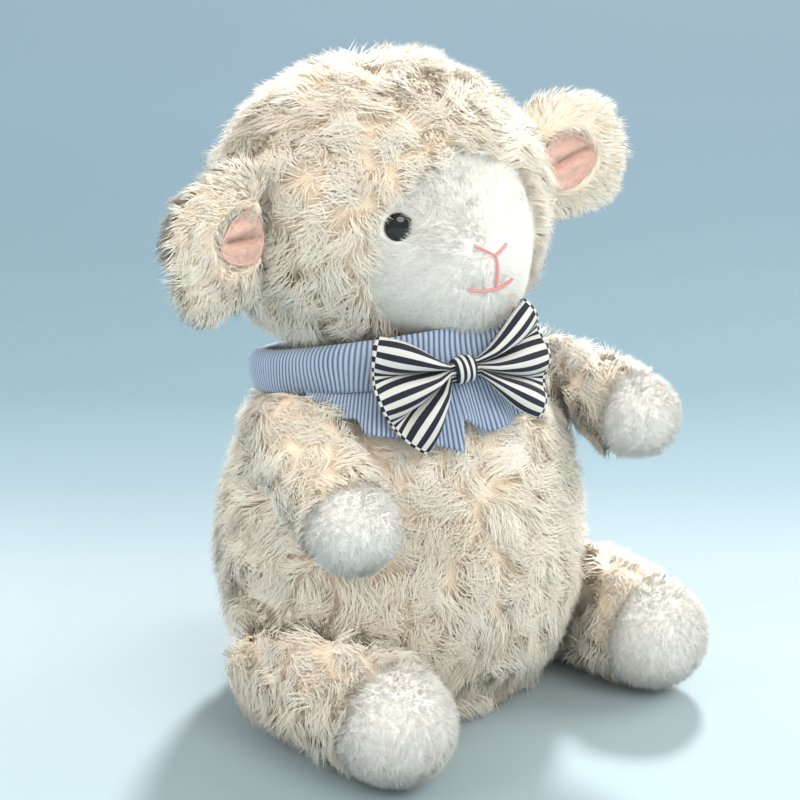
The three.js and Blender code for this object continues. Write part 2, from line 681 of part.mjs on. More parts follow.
/** An ear on its fold line at the side of the head: a plush leaf and a pink lining, clear of the head. */
function addEar(headGroup, name, side) {
  const level = ear.above / (head.height / 2);
  const front = ear.forward / (head.depth / 2);
  const beside = (head.width / 2) * Math.sqrt(1 - level * level - front * front);
  const pivot = headCentre.clone().add(new THREE.Vector3(side * beside, -ear.forward, ear.above));
  const group = jointGroup(headGroup, pivot, 0, side * earDroop[name], -side * earTurn);
  const still = seenFrom(group, headForm(-SEAM_GAP, FINE), headGroup);
  const swing = side > 0 ? earFold : { low: -earFold.high, high: -earFold.low };
  const clear = (body) => clearOf(onSide(side, body), still, Z_AXIS, swing);
  const scoop = earScoop(0, 0);
  const plate = earLeaf(SEAM_GAP).intersect(scoop).subtract(earScoop(-lining.thickness, 0));
  addPiece(group, `${name}_ear_plush`, clear(earLeaf(0).subtract(earScoop(0, SEAM_GAP))), finishes.cream);
  addPiece(group, `${name}_ear_lining`, clear(plate), finishes.pink);
}

/** A limb's skin, stuffing and white end, clear of what it swings past about an axis of its joint. */
function addLimb(group, names, limb, shares, still, axis, swing) {
  const obstacle = seenFrom(group, still, toy);
  const table = seenFrom(group, underTable(), toy);
  const hollow = limbForm(limb, shares, pile.limb, SMALL);
  const wall = limbForm(limb, shares, 0, LIMB).subtract(hollow);
  const filling = limbForm(limb, shares, pile.limb + SEAM_GAP, SMALL);
  const cut = (body) => clearOf(body.subtract(table), obstacle, axis, swing);
  addPiece(group, names.skin, cut(wall.intersect(limbSide(limb, false))), finishes.cream);
  addPiece(group, names.end, cut(wall.intersect(limbSide(limb, true))), finishes.white);
  addPiece(group, names.stuffing, cut(filling), finishes.stuffing);
}

/** The arms, each on a hinge across its shoulder. */
function addArms(still) {
  for (const [name, side] of Object.entries({ left: 1, right: -1 })) {
    const pivot = new THREE.Vector3((side * arm.apart) / 2, -arm.forward, arm.height);
    const group = jointGroup(toy, pivot, HALF_TURN / 2 + armDroop[name], 0, side * armSplay[name]);
    const hinge = new THREE.Vector3(Math.cos(armHingeTilt), side * Math.sin(armHingeTilt), 0);
    const swing = { low: -armSwing[name].high, high: -armSwing[name].low };
    const names = { skin: `${name}_sleeve`, end: `${name}_paw`, stuffing: `${name}_arm_stuffing` };
    addLimb(group, names, arm, ARM_SWELL_SHARES, still, hinge, swing);
  }
}

/** The legs, each on an upright hinge at its hip, so that it spreads along the table. */
function addLegs(still) {
  for (const [name, side] of Object.entries({ left: 1, right: -1 })) {
    const pivot = new THREE.Vector3((side * leg.apart) / 2, -leg.forward, leg.height);
    const group = jointGroup(toy, pivot, HALF_TURN / 2 + legDroop, 0, side * legSplay);
    const upright = Z_AXIS.clone().transformDirection(group.matrixWorld.clone().invert());
    const spread = side > 0 ? legSpread : { low: -legSpread.high, high: -legSpread.low };
    const names = { skin: `${name}_leg_skin`, end: `${name}_foot`, stuffing: `${name}_leg_stuffing` };
    addLimb(group, names, leg, LEG_SWELL_SHARES, still, upright, spread);
  }
}

/** The tail: a stuffed plush drop that hangs from the back of the torso. */
function addTail(still) {
  const back = (torsoHalfWidthAt(tail.height) * torso.depth) / torso.width;
  const group = jointGroup(toy, new THREE.Vector3(0, back, tail.height), -HALF_TURN / 2 - tailDroop, 0, 0);
  const obstacle = seenFrom(group, still, toy);
  const outer = limbForm(tail, TAIL_SWELL_SHARES, 0, LIMB);
  const hollow = limbForm(tail, TAIL_SWELL_SHARES, pile.tail, SMALL);
  const filling = limbForm(tail, TAIL_SWELL_SHARES, pile.tail + SEAM_GAP, SMALL);
  const cut = (body) => clearOf(body, obstacle, X_AXIS, tailSwing);
  addPiece(group, "tail_skin", cut(outer.subtract(hollow)), finishes.cream);
  addPiece(group, "tail_stuffing", cut(filling), finishes.stuffing);
}

/** The collar's bib, its cloth grown by a clearance each way. */
function bibForm(clearance) {
  const past = clearance / (2 * bibHalfAngle * bandRadius);
  const grown = (share, down) => bibPoint(THREE.MathUtils.lerp(-past, 1 + past, share), down);
  return clothSlab(grown, BIB, CORDUROY + 2 * clearance, false);
}

/** The corduroy collar: its band and its two-lobed bib. */
function addCollar() {
  const loop = clothSlab(bandPoint, BAND, CORDUROY, true);
  addPiece(toy, "collar_band", loop, finishes.blueCorduroy);
  addPiece(toy, "collar_bib", bibForm(0), finishes.blueCorduroy);
}

/** The bow: its pleated cloth, and the knot that wraps the cloth's waist. */
function addBow() {
  const front = bandPoint(collarTurn / (2 * HALF_TURN), 1 / 2).addScaledVector(Z_AXIS, -bow.lower);
  const outward = new THREE.Vector3(Math.sin(collarTurn), -Math.cos(collarTurn), 0);
  front.addScaledVector(outward, CORDUROY / 2 + SEAM_GAP + knot.height / 2);
  const group = jointGroup(toy, front, 0, -bowRoll, collarTurn);
  const cloth = clothSlab(bowPoint, WINGS, RIBBON, false);
  const wrap = new THREE.SphereGeometry(1, INNER.round, SMALL.round).rotateZ(HALF_TURN / 2);
  shaped(wrap, (point) => {
    point.x = (Math.sign(point.x) * Math.abs(point.x) ** knotRoundShare * knot.width) / 2;
    point.y *= knot.height / 2;
    point.z *= knot.height / 2;
  });
  const bore = new THREE.CylinderGeometry(
    knot.height / 2 - knot.wall,
    knot.height / 2 - knot.wall,
    knot.width + OVERRUN,
    INNER.round,
  ).rotateZ(HALF_TURN / 2);
  addPiece(group, "bow_cloth", cloth, finishes.stripedRibbon);
  addPiece(group, "bow_knot", solid(wrap).subtract(solid(bore)), finishes.stripedRibbon);
}

const torsoAround = torsoForm(-SEAM_GAP, BROAD);

addTorso();
addNeck();
addHead(torsoAround.add(ringAtBand(SEAM_GAP)));
addArms(torsoAround.add(withinBand(SEAM_GAP)).add(bibForm(2 * SEAM_GAP)));
addLegs(torsoAround);
addTail(torsoAround);
addCollar();
addBow();

export default toy;
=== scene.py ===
"""A seated plush sheep: padded skins under a grown pile, a corduroy collar, and a striped bow.

Lengths inside this script are millimetres; meshes are written in metres. Points called own are in a
sewn part's frame: x to the toy's left, and z up (head, ears, bow) or out of the seam (limbs, tail).
"""

import json
import logging
import math
from collections.abc import Callable
from dataclasses import dataclass
from enum import Enum
from functools import cache

import bpy
import numpy as np
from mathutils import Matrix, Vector

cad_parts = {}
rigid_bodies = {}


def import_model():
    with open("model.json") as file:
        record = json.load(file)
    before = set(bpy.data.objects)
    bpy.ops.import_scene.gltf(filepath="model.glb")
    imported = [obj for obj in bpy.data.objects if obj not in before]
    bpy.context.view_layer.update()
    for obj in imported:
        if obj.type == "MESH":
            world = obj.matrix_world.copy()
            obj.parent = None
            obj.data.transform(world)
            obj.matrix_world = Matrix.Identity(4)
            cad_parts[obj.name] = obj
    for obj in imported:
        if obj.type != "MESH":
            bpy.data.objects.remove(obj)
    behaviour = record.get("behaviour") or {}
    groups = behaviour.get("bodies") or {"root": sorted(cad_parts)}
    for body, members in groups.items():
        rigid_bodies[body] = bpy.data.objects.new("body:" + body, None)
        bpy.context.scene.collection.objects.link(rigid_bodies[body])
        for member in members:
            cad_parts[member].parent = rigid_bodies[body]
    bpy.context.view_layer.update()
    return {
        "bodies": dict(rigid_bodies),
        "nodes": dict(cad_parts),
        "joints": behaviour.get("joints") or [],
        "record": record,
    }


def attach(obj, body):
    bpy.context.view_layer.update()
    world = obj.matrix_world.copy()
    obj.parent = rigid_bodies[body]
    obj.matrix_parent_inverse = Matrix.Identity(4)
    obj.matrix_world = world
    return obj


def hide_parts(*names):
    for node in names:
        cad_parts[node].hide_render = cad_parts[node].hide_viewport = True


LOG = logging.getLogger("plush_sheep")
MM = 0.001
TINY = 1e-9
BAKE_MAP = "OFBake"
TAU = 2 * math.pi
DOWN = np.array([0.0, 0.0, -1.0])
Array = np.ndarray
Triple = tuple[float, float, float]
Piece = bpy.types.Object
Output = bpy.types.NodeSocket


class Side(Enum):
    """The toy's own left and right; the value mirrors x."""

    LEFT = 1
    RIGHT = -1


# Small maths


def unit(vectors: Array) -> Array:
    """Scale the vectors in the last axis to length 1."""
    return vectors / np.maximum(np.linalg.norm(vectors, axis=-1, keepdims=True), TINY)


def smoothstep(values: Array, low: float, high: float) -> Array:
    """Rise from 0 at low to 1 at high: three shares squared less two shares cubed."""
    share = np.clip((values - low) / (high - low), 0, 1)
    return share * share * (3 - 2 * share)


def hump(values: Array, width: float) -> Array:
    """Fall from 1 at 0 as e to the power of minus the square of value over width."""
    return np.exp(-((values / width) ** 2))


def spline(places: Array, count: int) -> Array:
    """Run a Catmull-Rom curve through places.

    Args:
        places: The places, one in each row.
        count: How many points to return.

    Returns:
        Evenly numbered points on the curve.
    """
    padded = np.vstack([2 * places[0] - places[1], places, 2 * places[-1] - places[-2]])
    at = np.linspace(0, len(places) - 1, count)
    index = np.minimum(at.astype(int), len(places) - 2)
    t = (at - index)[:, None]
    a, b, c, d = (padded[index + k] for k in range(4))
    return 0.5 * (2 * b + (c - a) * t + (2 * a - 5 * b + 4 * c - d) * t**2 + (3 * b - a - 3 * c + d) * t**3)


@dataclass(frozen=True)
class Place:
    """The origin and the axes of a sewn part at rest."""

    origin: Triple
    x: Triple
    y: Triple
    z: Triple

    def rounded(self) -> "Place":
        """Round as the record does: the origin to 0.01 mm, the axes to five decimals."""
        axes = (tuple(np.round(axis, 5).tolist()) for axis in (self.x, self.y, self.z))
        return Place(tuple(np.round(self.origin, 2).tolist()), *axes)

    @classmethod
    def upright(cls, origin: Triple, turn: float, roll: float) -> "Place":
        """Stand a frame upright, turn it to its right and roll its left side up.

        Args:
            origin: Its origin.
            turn: The turn about the upright axis, in degrees.
            roll: The roll about its front axis, in degrees.

        Returns:
            The frame.
        """
        turn, roll = math.radians(turn), math.radians(roll)
        level = math.cos(roll)
        x = np.array([level * math.cos(turn), -level * math.sin(turn), math.sin(roll)])
        y = np.array([math.sin(turn), math.cos(turn), 0.0])
        return cls(origin, x, y, np.cross(x, y))

    @classmethod
    def reaching(cls, origin: Triple, turn: float, droop: float) -> "Place":
        """Point a frame's z axis forward, turned to the left and drooping.

        Args:
            origin: Its origin.
            turn: The turn to the left, in degrees.
            droop: How far z points below level, in degrees.

        Returns:
            The frame.
        """
        turn, droop = math.radians(turn), math.radians(droop)
        level = math.cos(droop)
        x = np.array([math.cos(turn), math.sin(turn), 0.0])
        z = np.array([math.sin(turn) * level, -math.cos(turn) * level, -math.sin(droop)])
        return cls(origin, x, np.cross(z, x), z).rounded()

    def carry(self, part: "Place") -> "Place":
        """Move a part's frame out of the frame of the part that carries it."""
        return Place(self.to_world(np.array(part.origin)), *self.turn(np.array([part.x, part.y, part.z])))

    def to_world(self, points: Array) -> Array:
        """Move points out of the part's own frame."""
        return self.turn(points) + self.origin

    def to_own(self, points: Array) -> Array:
        """Move points into the part's own frame."""
        return (points - self.origin) @ np.array([self.x, self.y, self.z]).T

    def turn(self, vectors: Array) -> Array:
        """Turn directions out of the part's own frame."""
        return vectors @ np.array([self.x, self.y, self.z])


NECK_CENTRE = (0, 6, 157.0)
NECK_LEAN = math.radians(10)
# The ears hang on the head's exact frame; all else uses the rounded one, as the record does.
HEAD_EXACT = Place.upright((0, 6, 152), -0.4, 3.2)
HEAD = HEAD_EXACT.rounded()
HEAD_CENTRE = (0, 6.5, 73.5)
HEAD_HALF = (81.5, 69, 67)
COLLAR_TURN_DEG = -16
BOW = Place.upright((-18.5, -60.7, 164.1), -COLLAR_TURN_DEG, 7).rounded()
FOOT_SINK = math.degrees(math.asin(6.1 / 77))
ARMS = {
    Side.LEFT: Place.reaching((70, -12, 134), 8, 5),
    Side.RIGHT: Place.reaching((-70, -12, 134), -13, 25),
}
LEGS = {side: Place.reaching((72 * side.value, -8, 34), 4 * side.value, FOOT_SINK) for side in Side}
TAIL = Place.reaching((0, 80.26, 52), 180, 48)


def ear_place(side: Side, roll: float, forward: float = 17, above: float = 8) -> Place:
    """Seat an ear on the head's form, where a line from beside its centre leaves it.

    Args:
        side: The ear's side.
        roll: How far the ear's left side is up, in degrees.
        forward: The seam's middle in front of the head's centre.
        above: The seam's middle above it.

    Returns:
        The ear's frame.
    """
    beside = HEAD_HALF[0] * math.sqrt(1 - (forward / HEAD_HALF[1]) ** 2 - (above / HEAD_HALF[2]) ** 2)
    origin = (side.value * beside, HEAD_CENTRE[1] - forward, HEAD_CENTRE[2] + above)
    return HEAD_EXACT.carry(Place.upright(origin, 10 * side.value, roll)).rounded()


EARS = {Side.LEFT: ear_place(Side.LEFT, 2), Side.RIGHT: ear_place(Side.RIGHT, 14)}


# Meshes


def mesh_object(name: str, points: Array, faces: list[Array], bake_at: Array | None = None) -> Piece:
    """Make an object from arrays.

    Args:
        name: The object's name.
        points: Vertices in millimetres.
        faces: Arrays of vertex numbers, one array for each count of corners.
        bake_at: The bake map's place of each vertex.

    Returns:
        The linked object.
    """
    mesh = bpy.data.meshes.new(name)
    corners = np.concatenate([f.ravel() for f in faces])
    totals = np.concatenate([np.full(len(f), f.shape[1]) for f in faces])
    starts = np.concatenate([[0], np.cumsum(totals)[:-1]])
    mesh.vertices.add(len(points))
    mesh.loops.add(len(corners))
    mesh.loops.foreach_set("vertex_index", corners.astype(np.int32))
    mesh.polygons.add(len(totals))
    mesh.polygons.foreach_set("loop_start", starts.astype(np.int32))
    write_points(mesh, points)
    mesh.update(calc_edges=True)
    mesh.shade_smooth()
    if bake_at is not None:
        layer = mesh.uv_layers.new(name=BAKE_MAP)
        layer.uv.foreach_set("vector", bake_at[corners].astype(np.float32).ravel())
    made = bpy.data.objects.new(name, mesh)
    bpy.context.scene.collection.objects.link(made)
    return made


def write_points(mesh: bpy.types.Mesh, points: Array) -> None:
    """Write a mesh's vertices, given in millimetres."""
    mesh.vertices.foreach_set("co", (points * MM).astype(np.float32).ravel())
    mesh.update()


def mesh_arrays(mesh: bpy.types.Mesh) -> tuple[Array, Array, Array]:
    """Read a mesh.

    Args:
        mesh: The mesh to read.

    Returns:
        Its vertices in millimetres, vertex normals, and triangles.
    """
    count = len(mesh.vertices)
    points, normals = np.empty(count * 3, np.float32), np.empty(count * 3, np.float32)
    mesh.vertices.foreach_get("co", points)
    mesh.vertex_normals.foreach_get("vector", normals)
    mesh.calc_loop_triangles()
    triangles = np.empty(len(mesh.loop_triangles) * 3, np.int32)
    mesh.loop_triangles.foreach_get("vertices", triangles)
    points, normals = (values.reshape(-1, 3).astype(float) for values in (points, normals))
    return points / MM, normals, triangles.reshape(-1, 3)


def settle(made: Piece) -> None:
    """Apply an object's modifiers to its mesh.

    Args:
        made: The object.
    """
    graph = bpy.context.evaluated_depsgraph_get()
    mesh = bpy.data.meshes.new_from_object(made.evaluated_get(graph))
    made.modifiers.clear()
    made.data = mesh
    mesh.shade_smooth()


def grid_faces(rows: int, columns: int, around: bool = False) -> Array:
    """Number the quads of a grid of points.

    Args:
        rows: Points across.
        columns: Points down.
        around: Whether the last row joins the first.

    Returns:
        The quads, seen from the side that the points' cross product faces.
    """
    across = np.arange(rows if around else rows - 1)
    i, j = np.meshgrid(across, np.arange(columns - 1), indexing="ij")
    here, beside = i * columns + j, (i + 1) % rows * columns + j
    return np.stack([here, beside, beside + 1, here + 1], -1).reshape(-1, 4)


def sweep_axes(paths: Array, aside: Triple) -> tuple[Array, Array]:
    """Find two axes square to each path, from a direction that no path follows."""
    across = unit(np.cross(unit(np.gradient(paths, axis=1)), aside))
    return across, np.cross(unit(np.gradient(paths, axis=1)), across)


def tubes(paths: Array, radius: float, sides: int) -> tuple[Array, list[Array]]:
    """Run closed tubes along paths.

    Args:
        paths: Tubes by points by three coordinates.
        radius: Their radius.
        sides: How many sides they have.

    Returns:
        The points and the faces.
    """
    across, over = sweep_axes(paths, (0.11, 0.95, 0.23))
    turn = (np.arange(sides) * TAU / sides)[:, None, None]
    levels = paths.shape[1]
    ends = np.ones(levels)
    ends[[0, -1]] = 0.55
    ring = np.cos(turn) * across[:, None] + np.sin(turn) * over[:, None]
    points = paths[:, None] + ring * (radius * ends)[None, None, :, None]
    offset = (np.arange(len(paths)) * sides * levels)[:, None, None]
    quads = (offset + grid_faces(sides, levels, True)[None]).reshape(-1, 4)
    low = (offset[:, 0] + np.arange(sides)[None, ::-1] * levels).reshape(-1, sides)
    high = (offset[:, 0] + np.arange(sides)[None] * levels + levels - 1).reshape(-1, sides)
    return points.reshape(-1, 3), [quads, low, high]


def revolve(profile: Array, centre: Array, axis: Array, facets: int) -> tuple[Array, list[Array]]:
    """Turn a profile round an axis into a closed form.

    Args:
        profile: Radius and height of each level, from the top.
        centre: The place of height 0.
        axis: The axis, upward.
        facets: How many sides it has.

    Returns:
        The points and the faces.
    """
    across = unit(np.cross(axis, [0.2, 0.1, 1.0]))
    over = np.cross(axis, across)
    turn = np.linspace(0, TAU, facets, endpoint=False)[:, None]
    ring = np.cos(turn) * across + np.sin(turn) * over
    points = centre + ring[:, None] * profile[None, :, :1] + profile[None, :, 1:] * axis
    levels = len(profile)
    top = np.arange(facets)[None] * levels
    faces = [grid_faces(facets, levels, True)[:, ::-1], top, (top + levels - 1)[:, ::-1]]
    return points.reshape(-1, 3), faces


# Finishes


class Shader:
    """The nodes of one material, built from a Principled BSDF."""

    def __init__(self, name: str, roughness: float, sheen: float = 0.0, specular: float = 0.5) -> None:
        """Start a material.

        Args:
            name: The material's name.
            roughness: The surface's roughness.
            sheen: The weight of its sheen.
            specular: Its specular level.
        """
        self.material = bpy.data.materials.new(name)
        self.material.use_nodes = True
        self.nodes = self.material.node_tree.nodes
        self.surface = self.nodes["Principled BSDF"].inputs
        self.surface["Roughness"].default_value = roughness
        self.surface["Sheen Weight"].default_value = sheen
        self.surface["Sheen Roughness"].default_value = 0.4
        self.surface["Specular IOR Level"].default_value = specular

    def node(self, kind: str, inputs: dict[str | int, object] | None = None,
             **settings: object) -> bpy.types.Node:
        """Add a node.

        Args:
            kind: The node's type.
            inputs: Values or outputs for its inputs.
            settings: Its own properties.

        Returns:
            The node.
        """
        made = self.nodes.new(kind)
        for key, value in settings.items():
            setattr(made, key, value)
        for key, value in (inputs or {}).items():
            self.feed(made.inputs[key], value)
        return made

    def feed(self, socket: Output, value: object) -> None:
        """Give an input a value or link it to an output.

        Args:
            socket: The input.
            value: A number, a colour or an output.
        """
        if isinstance(value, bpy.types.NodeSocket):
            self.material.node_tree.links.new(value, socket)
        elif isinstance(value, tuple) and socket.type == "RGBA":
            socket.default_value = (*value, 1)
        else:
            socket.default_value = value

    def math(self, operation: str, *values: object) -> Output:
        """Do one of Blender's sums on values or outputs."""
        return self.node("ShaderNodeMath", dict(enumerate(values)), operation=operation).outputs[0]

    def ramp(self, value: Output, *stops: tuple[float, Triple | float]) -> Output:
        """Turn a value into a colour.

        Args:
            value: The value's output.
            stops: Places from 0 to 1 with their colours, or with their greys.

        Returns:
            The colour's output.
        """
        made = self.node("ShaderNodeValToRGB", {"Fac": value})
        elements = made.color_ramp.elements
        while len(elements) < len(stops):
            elements.new(1)
        for element, (place, color) in zip(elements, stops):
            element.position = place
            element.color = (*(color if isinstance(color, tuple) else [color] * 3), 1)
        return made.outputs["Color"]

    def mix(self, share: object, first: object, second: object, blend: str = "MIX") -> Output:
        """Mix a share of the second colour into the first, by one of Blender's blends."""
        inputs = {0: share, 6: first, 7: second}
        return self.node("ShaderNodeMix", inputs, data_type="RGBA", blend_type=blend).outputs[2]

    def map_place(self) -> tuple[Output, Output]:
        """Read the two places of the bake map."""
        read = self.node("ShaderNodeUVMap", uv_map=BAKE_MAP).outputs["UV"]
        return tuple(self.node("ShaderNodeSeparateXYZ", {0: read}).outputs[:2])

    def noise(self, scale: float, detail: float = 2.0) -> Output:
        """Add solid noise.

        Args:
            scale: Features per metre.
            detail: Its octaves.

        Returns:
            The value's output.
        """
        place = self.node("ShaderNodeTexCoord").outputs["Object"]
        inputs = {"Vector": place, "Scale": scale, "Detail": detail}
        return self.node("ShaderNodeTexNoise", inputs).outputs["Fac"]

    def bump(self, height: Output, strength: float, distance: float) -> None:
        """Bend the surface's normal by a height in metres."""
        made = self.node("ShaderNodeBump", {"Height": height, "Strength": strength, "Distance": distance})
        self.feed(self.surface["Normal"], made.outputs["Normal"])

    def color(self, value: Output) -> bpy.types.Material:
        """Give the surface its colour and end the material."""
        self.feed(self.surface["Base Color"], value)
        return self.material


@dataclass(frozen=True)
class PileFinish:
    """Fibres that are darker at the root, with a tone of their own."""

    name: str
    root: Triple
    middle: Triple
    tip: Triple
    shade: Triple
    roughness: float = 0.85
    middle_at: float = 0.4
    full_tone: float = 0.75

    def material(self) -> bpy.types.Material:
        """Build the material.

        Returns:
            The material.
        """
        shader = Shader(self.name, self.roughness, sheen=0.15, specular=0.1)
        tone, along = shader.map_place()
        color = shader.ramp(along, (0.0, self.root), (self.middle_at, self.middle), (1.0, self.tip))
        tint = shader.ramp(tone, (0.0, self.shade), (self.full_tone, 1.0))
        return shader.color(shader.mix(0.9, color, tint, "MULTIPLY"))


@dataclass(frozen=True)
class GrainFinish:
    """A ground whose colour and height follow one fine noise; as it stands, a woven or knitted cloth."""

    name: str
    crest: Triple
    hollow: Triple
    scale: float = 1400.0
    roughness: float = 0.9
    sheen: float = 0.2
    specular: float = 0.25
    detail: float = 3.0
    strength: float = 0.5
    depth: float = 0.0006
    soft: float = 0.2

    def material(self) -> bpy.types.Material:
        """Build the material.

        Returns:
            The material.
        """
        shader = Shader(self.name, self.roughness, self.sheen, self.specular)
        grain = shader.noise(self.scale, self.detail)
        shader.bump(grain, self.strength, self.depth)
        low, high = 0.5 - self.soft, 0.5 + self.soft
        return shader.color(shader.ramp(grain, (low, self.hollow), (high, self.crest)))


@dataclass(frozen=True)
class ThreadFinish(GrainFinish):
    """Shiny embroidery thread."""

    scale: float = 5000.0
    roughness: float = 0.4
    sheen: float = 0.3
    specular: float = 0.5
    detail: float = 2.0
    strength: float = 0.3
    depth: float = 0.0002


@dataclass(frozen=True)
class PlasticFinish(GrainFinish):
    """Moulded plastic with faint unevenness."""

    scale: float = 300.0
    roughness: float = 0.06
    sheen: float = 0.0
    specular: float = 0.6
    detail: float = 2.0
    strength: float = 0.03
    depth: float = 0.0002
    soft: float = 0.15


@dataclass(frozen=True)
class CorduroyFinish:
    """Velvety ribs along one way of the cloth, with painted shade darkening the grooves, and worn pale in
    places.
    """

    name: str
    wales: float
    crest: Triple = (0.42, 0.51, 0.67)
    # The groove colour is painted shade for the hollows between the ribs.
    painted_groove_shade: Triple = (0.06, 0.1, 0.18)
    worn_paler: float = 1.25

    def material(self) -> bpy.types.Material:
        """Build the material.

        Returns:
            The material.
        """
        shader = Shader(self.name, 0.85, sheen=0.5, specular=0.2)
        around, _ = shader.map_place()
        turn = shader.math("MULTIPLY", around, self.wales * math.pi)
        rib = shader.math("ABSOLUTE", shader.math("SINE", turn))
        fuzz, broad = shader.noise(2600, 3.0), shader.noise(60, 2.0)
        # The ramp paints shade into the grooves: the colour darkens where the rib falls to its hollow.
        color = shader.ramp(rib, (0.3, self.painted_groove_shade), (0.9, self.crest))
        pale = tuple(min(1, c * self.worn_paler) for c in self.crest)
        worn = shader.mix(shader.math("MULTIPLY", broad, 0.3), color, pale)
        shader.bump(shader.math("ADD", rib, shader.math("MULTIPLY", fuzz, 0.6)), 0.5, 0.0003)
        return shader.color(shader.mix(0.25, worn, shader.ramp(fuzz, (0.3, 0.6), (0.7, 1.0)), "MULTIPLY"))


@dataclass(frozen=True)
class StripedFinish:
    """Woven stripes of two colours along the cloth, turned over at the hems."""

    name: str
    dark: Triple
    light: Triple
    pairs: float
    hem_at: float = 0.486

    def material(self) -> bpy.types.Material:
        """Build the material.

        Returns:
            The material.
        """
        shader = Shader(self.name, 0.75, sheen=0.15, specular=0.3)
        across, down = shader.map_place()
        from_middle = shader.math("ABSOLUTE", shader.math("SUBTRACT", across, 0.5))
        hem = shader.math("MULTIPLY", shader.math("GREATER_THAN", from_middle, self.hem_at), 0.5)
        turned = shader.math("ADD", shader.math("MULTIPLY", down, self.pairs * 2), hem)
        edge = shader.math("ABSOLUTE", shader.math("SUBTRACT", shader.math("FRACT", turned), 0.5))
        weave = shader.noise(3200, 2.0)
        fringe = shader.math("MULTIPLY", shader.math("SUBTRACT", weave, 0.5), 0.05)
        color = shader.ramp(shader.math("ADD", edge, fringe), (0.235, self.dark), (0.265, self.light))
        shader.bump(weave, 0.35, 0.0003)
        return shader.color(shader.mix(0.5, color, shader.ramp(weave, (0.3, 0.78), (0.7, 1.0)), "MULTIPLY"))


# The cream's root colour is partly the fibres' own darker root and partly painted warm shade for the
# crevices between the locks.
CREAM = PileFinish("cream_pile", (0.97, 0.79, 0.61), (0.99, 0.92, 0.8), (0.995, 0.965, 0.895),
                   (0.98, 0.92, 0.84))
WHITE = PileFinish("white_pile", (0.97, 0.955, 0.9), (0.985, 0.975, 0.93), (0.99, 0.985, 0.95),
                   (0.98, 0.975, 0.95), 0.9)
PINK = PileFinish("pink_velour", (0.74, 0.42, 0.36), (0.84, 0.58, 0.5), (0.9, 0.7, 0.63),
                  (0.88, 0.8, 0.78), 0.7)
BLUE_THREAD = PileFinish("blue_thread", (0.3, 0.4, 0.6), (0.5, 0.6, 0.78), (0.7, 0.77, 0.88),
                         (0.85, 0.88, 0.95))
NAVY_THREAD = PileFinish("navy_thread", (0.02, 0.02, 0.04), (0.03, 0.03, 0.05), (0.06, 0.06, 0.09),
                         (0.6, 0.6, 0.7))
# The cream ground, seen in the gaps of the pile, is peach partly as painted warm shade for those crevices.
CREAM_GROUND = GrainFinish("cream_ground", (0.96, 0.82, 0.67), (0.92, 0.76, 0.6))
WHITE_GROUND = GrainFinish("white_ground", (0.98, 0.97, 0.94), (0.95, 0.94, 0.9))
PINK_GROUND = GrainFinish("pink_ground", (0.82, 0.55, 0.47), (0.72, 0.44, 0.37))
PELLET_CLOTH = GrainFinish("pellet_cloth", (0.74, 0.74, 0.7), (0.6, 0.6, 0.56), 1800.0)
STRIPES = StripedFinish("striped_weave", (0.018, 0.02, 0.036), (0.68, 0.68, 0.65), 14)
THREAD = ThreadFinish("pink_satin", (0.8, 0.38, 0.38), (0.64, 0.25, 0.26))
BLACK_GLOSS = PlasticFinish("eye_gloss", (0.01, 0.01, 0.012), (0.006, 0.006, 0.007))
WHITE_PLASTIC = PlasticFinish("washer_white", (0.78, 0.78, 0.76), (0.85, 0.85, 0.83), roughness=0.5)
Finish = PileFinish | GrainFinish | CorduroyFinish | StripedFinish


@cache
def material_of(finish: Finish) -> bpy.types.Material:
    """Make each finish's material once."""
    return finish.material()


def put(piece: Piece, *finishes: Finish) -> None:
    """Give a piece its finishes.

    Args:
        piece: The object.
        finishes: The finishes; faces take the first one.
    """
    piece.data.materials.clear()
    for finish in finishes:
        piece.data.materials.append(material_of(finish))


def patch(piece: Piece, inside: Callable[[Array], Array]) -> None:
    """Let a part of a piece take its second finish.

    Args:
        piece: The object.
        inside: Tells which places take it.
    """
    centres = np.empty(len(piece.data.polygons) * 3, np.float32)
    piece.data.polygons.foreach_get("center", centres)
    chosen = inside(centres.reshape(-1, 3).astype(float) / MM)
    piece.data.polygons.foreach_set("material_index", chosen.astype(np.int32))


def dress(piece: Piece, body: str, slot: str, finish: Finish, *replaced: str) -> None:
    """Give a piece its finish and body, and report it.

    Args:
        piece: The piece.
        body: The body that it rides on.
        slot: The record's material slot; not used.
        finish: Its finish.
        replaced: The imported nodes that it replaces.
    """
    put(piece, finish)
    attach(piece, body)
    if replaced:
        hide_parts(*replaced)
    LOG.info("%s: body %s, %d faces", piece.name, body, len(piece.data.polygons))


# Pile


@dataclass(frozen=True)
class Pile:
    """How a plush's fibres stand: lengths in millimetres, the swirl in degrees.

    A fibre rises by its height and leans over by its run. Fibres gather into locks, which turn from
    the comb by the swirl and curl aside. Density counts fibres on a square millimetre.
    """

    finish: PileFinish
    slot: str
    height: float
    run: float
    thickness: float
    density: float
    lock: float = 1.6
    gather: float = 0.05
    swirl: float = 30
    curl: float = 0.2
    bends: int = 1


LONG = Pile(CREAM, "cream_plush", 9.8, 9.0, 0.39, 0.79, lock=8.5, gather=0.36, swirl=58, curl=3.6, bends=2)
EAR_PILE = Pile(CREAM, "cream_plush", 4.6, 6.0, 0.32, 1.4, lock=5.0, gather=0.2, swirl=16, curl=1.0,
                bends=2)
SHORT = Pile(WHITE, "white_plush", 3.6, 2.4, 0.3, 2.7, curl=0.3)
FACE_PILE = Pile(WHITE, "white_plush", 2.7, 3.6, 0.27, 3.7, swirl=14)
VELOUR = Pile(PINK, "pink_lining", 1.3, 0.8, 0.26, 3.4, gather=0.2, swirl=20)


@dataclass
class Nap:
    """Where fibres grow and how they lie."""

    keep: Array
    comb: Array
    height: Array
    run: Array

    def kept(self) -> "Nap":
        """Leave out the places where nothing grows."""
        return Nap(*(values[self.keep] for values in (self.keep, self.comb, self.height, self.run)))


NapRule = Callable[[Array, Array], Nap]


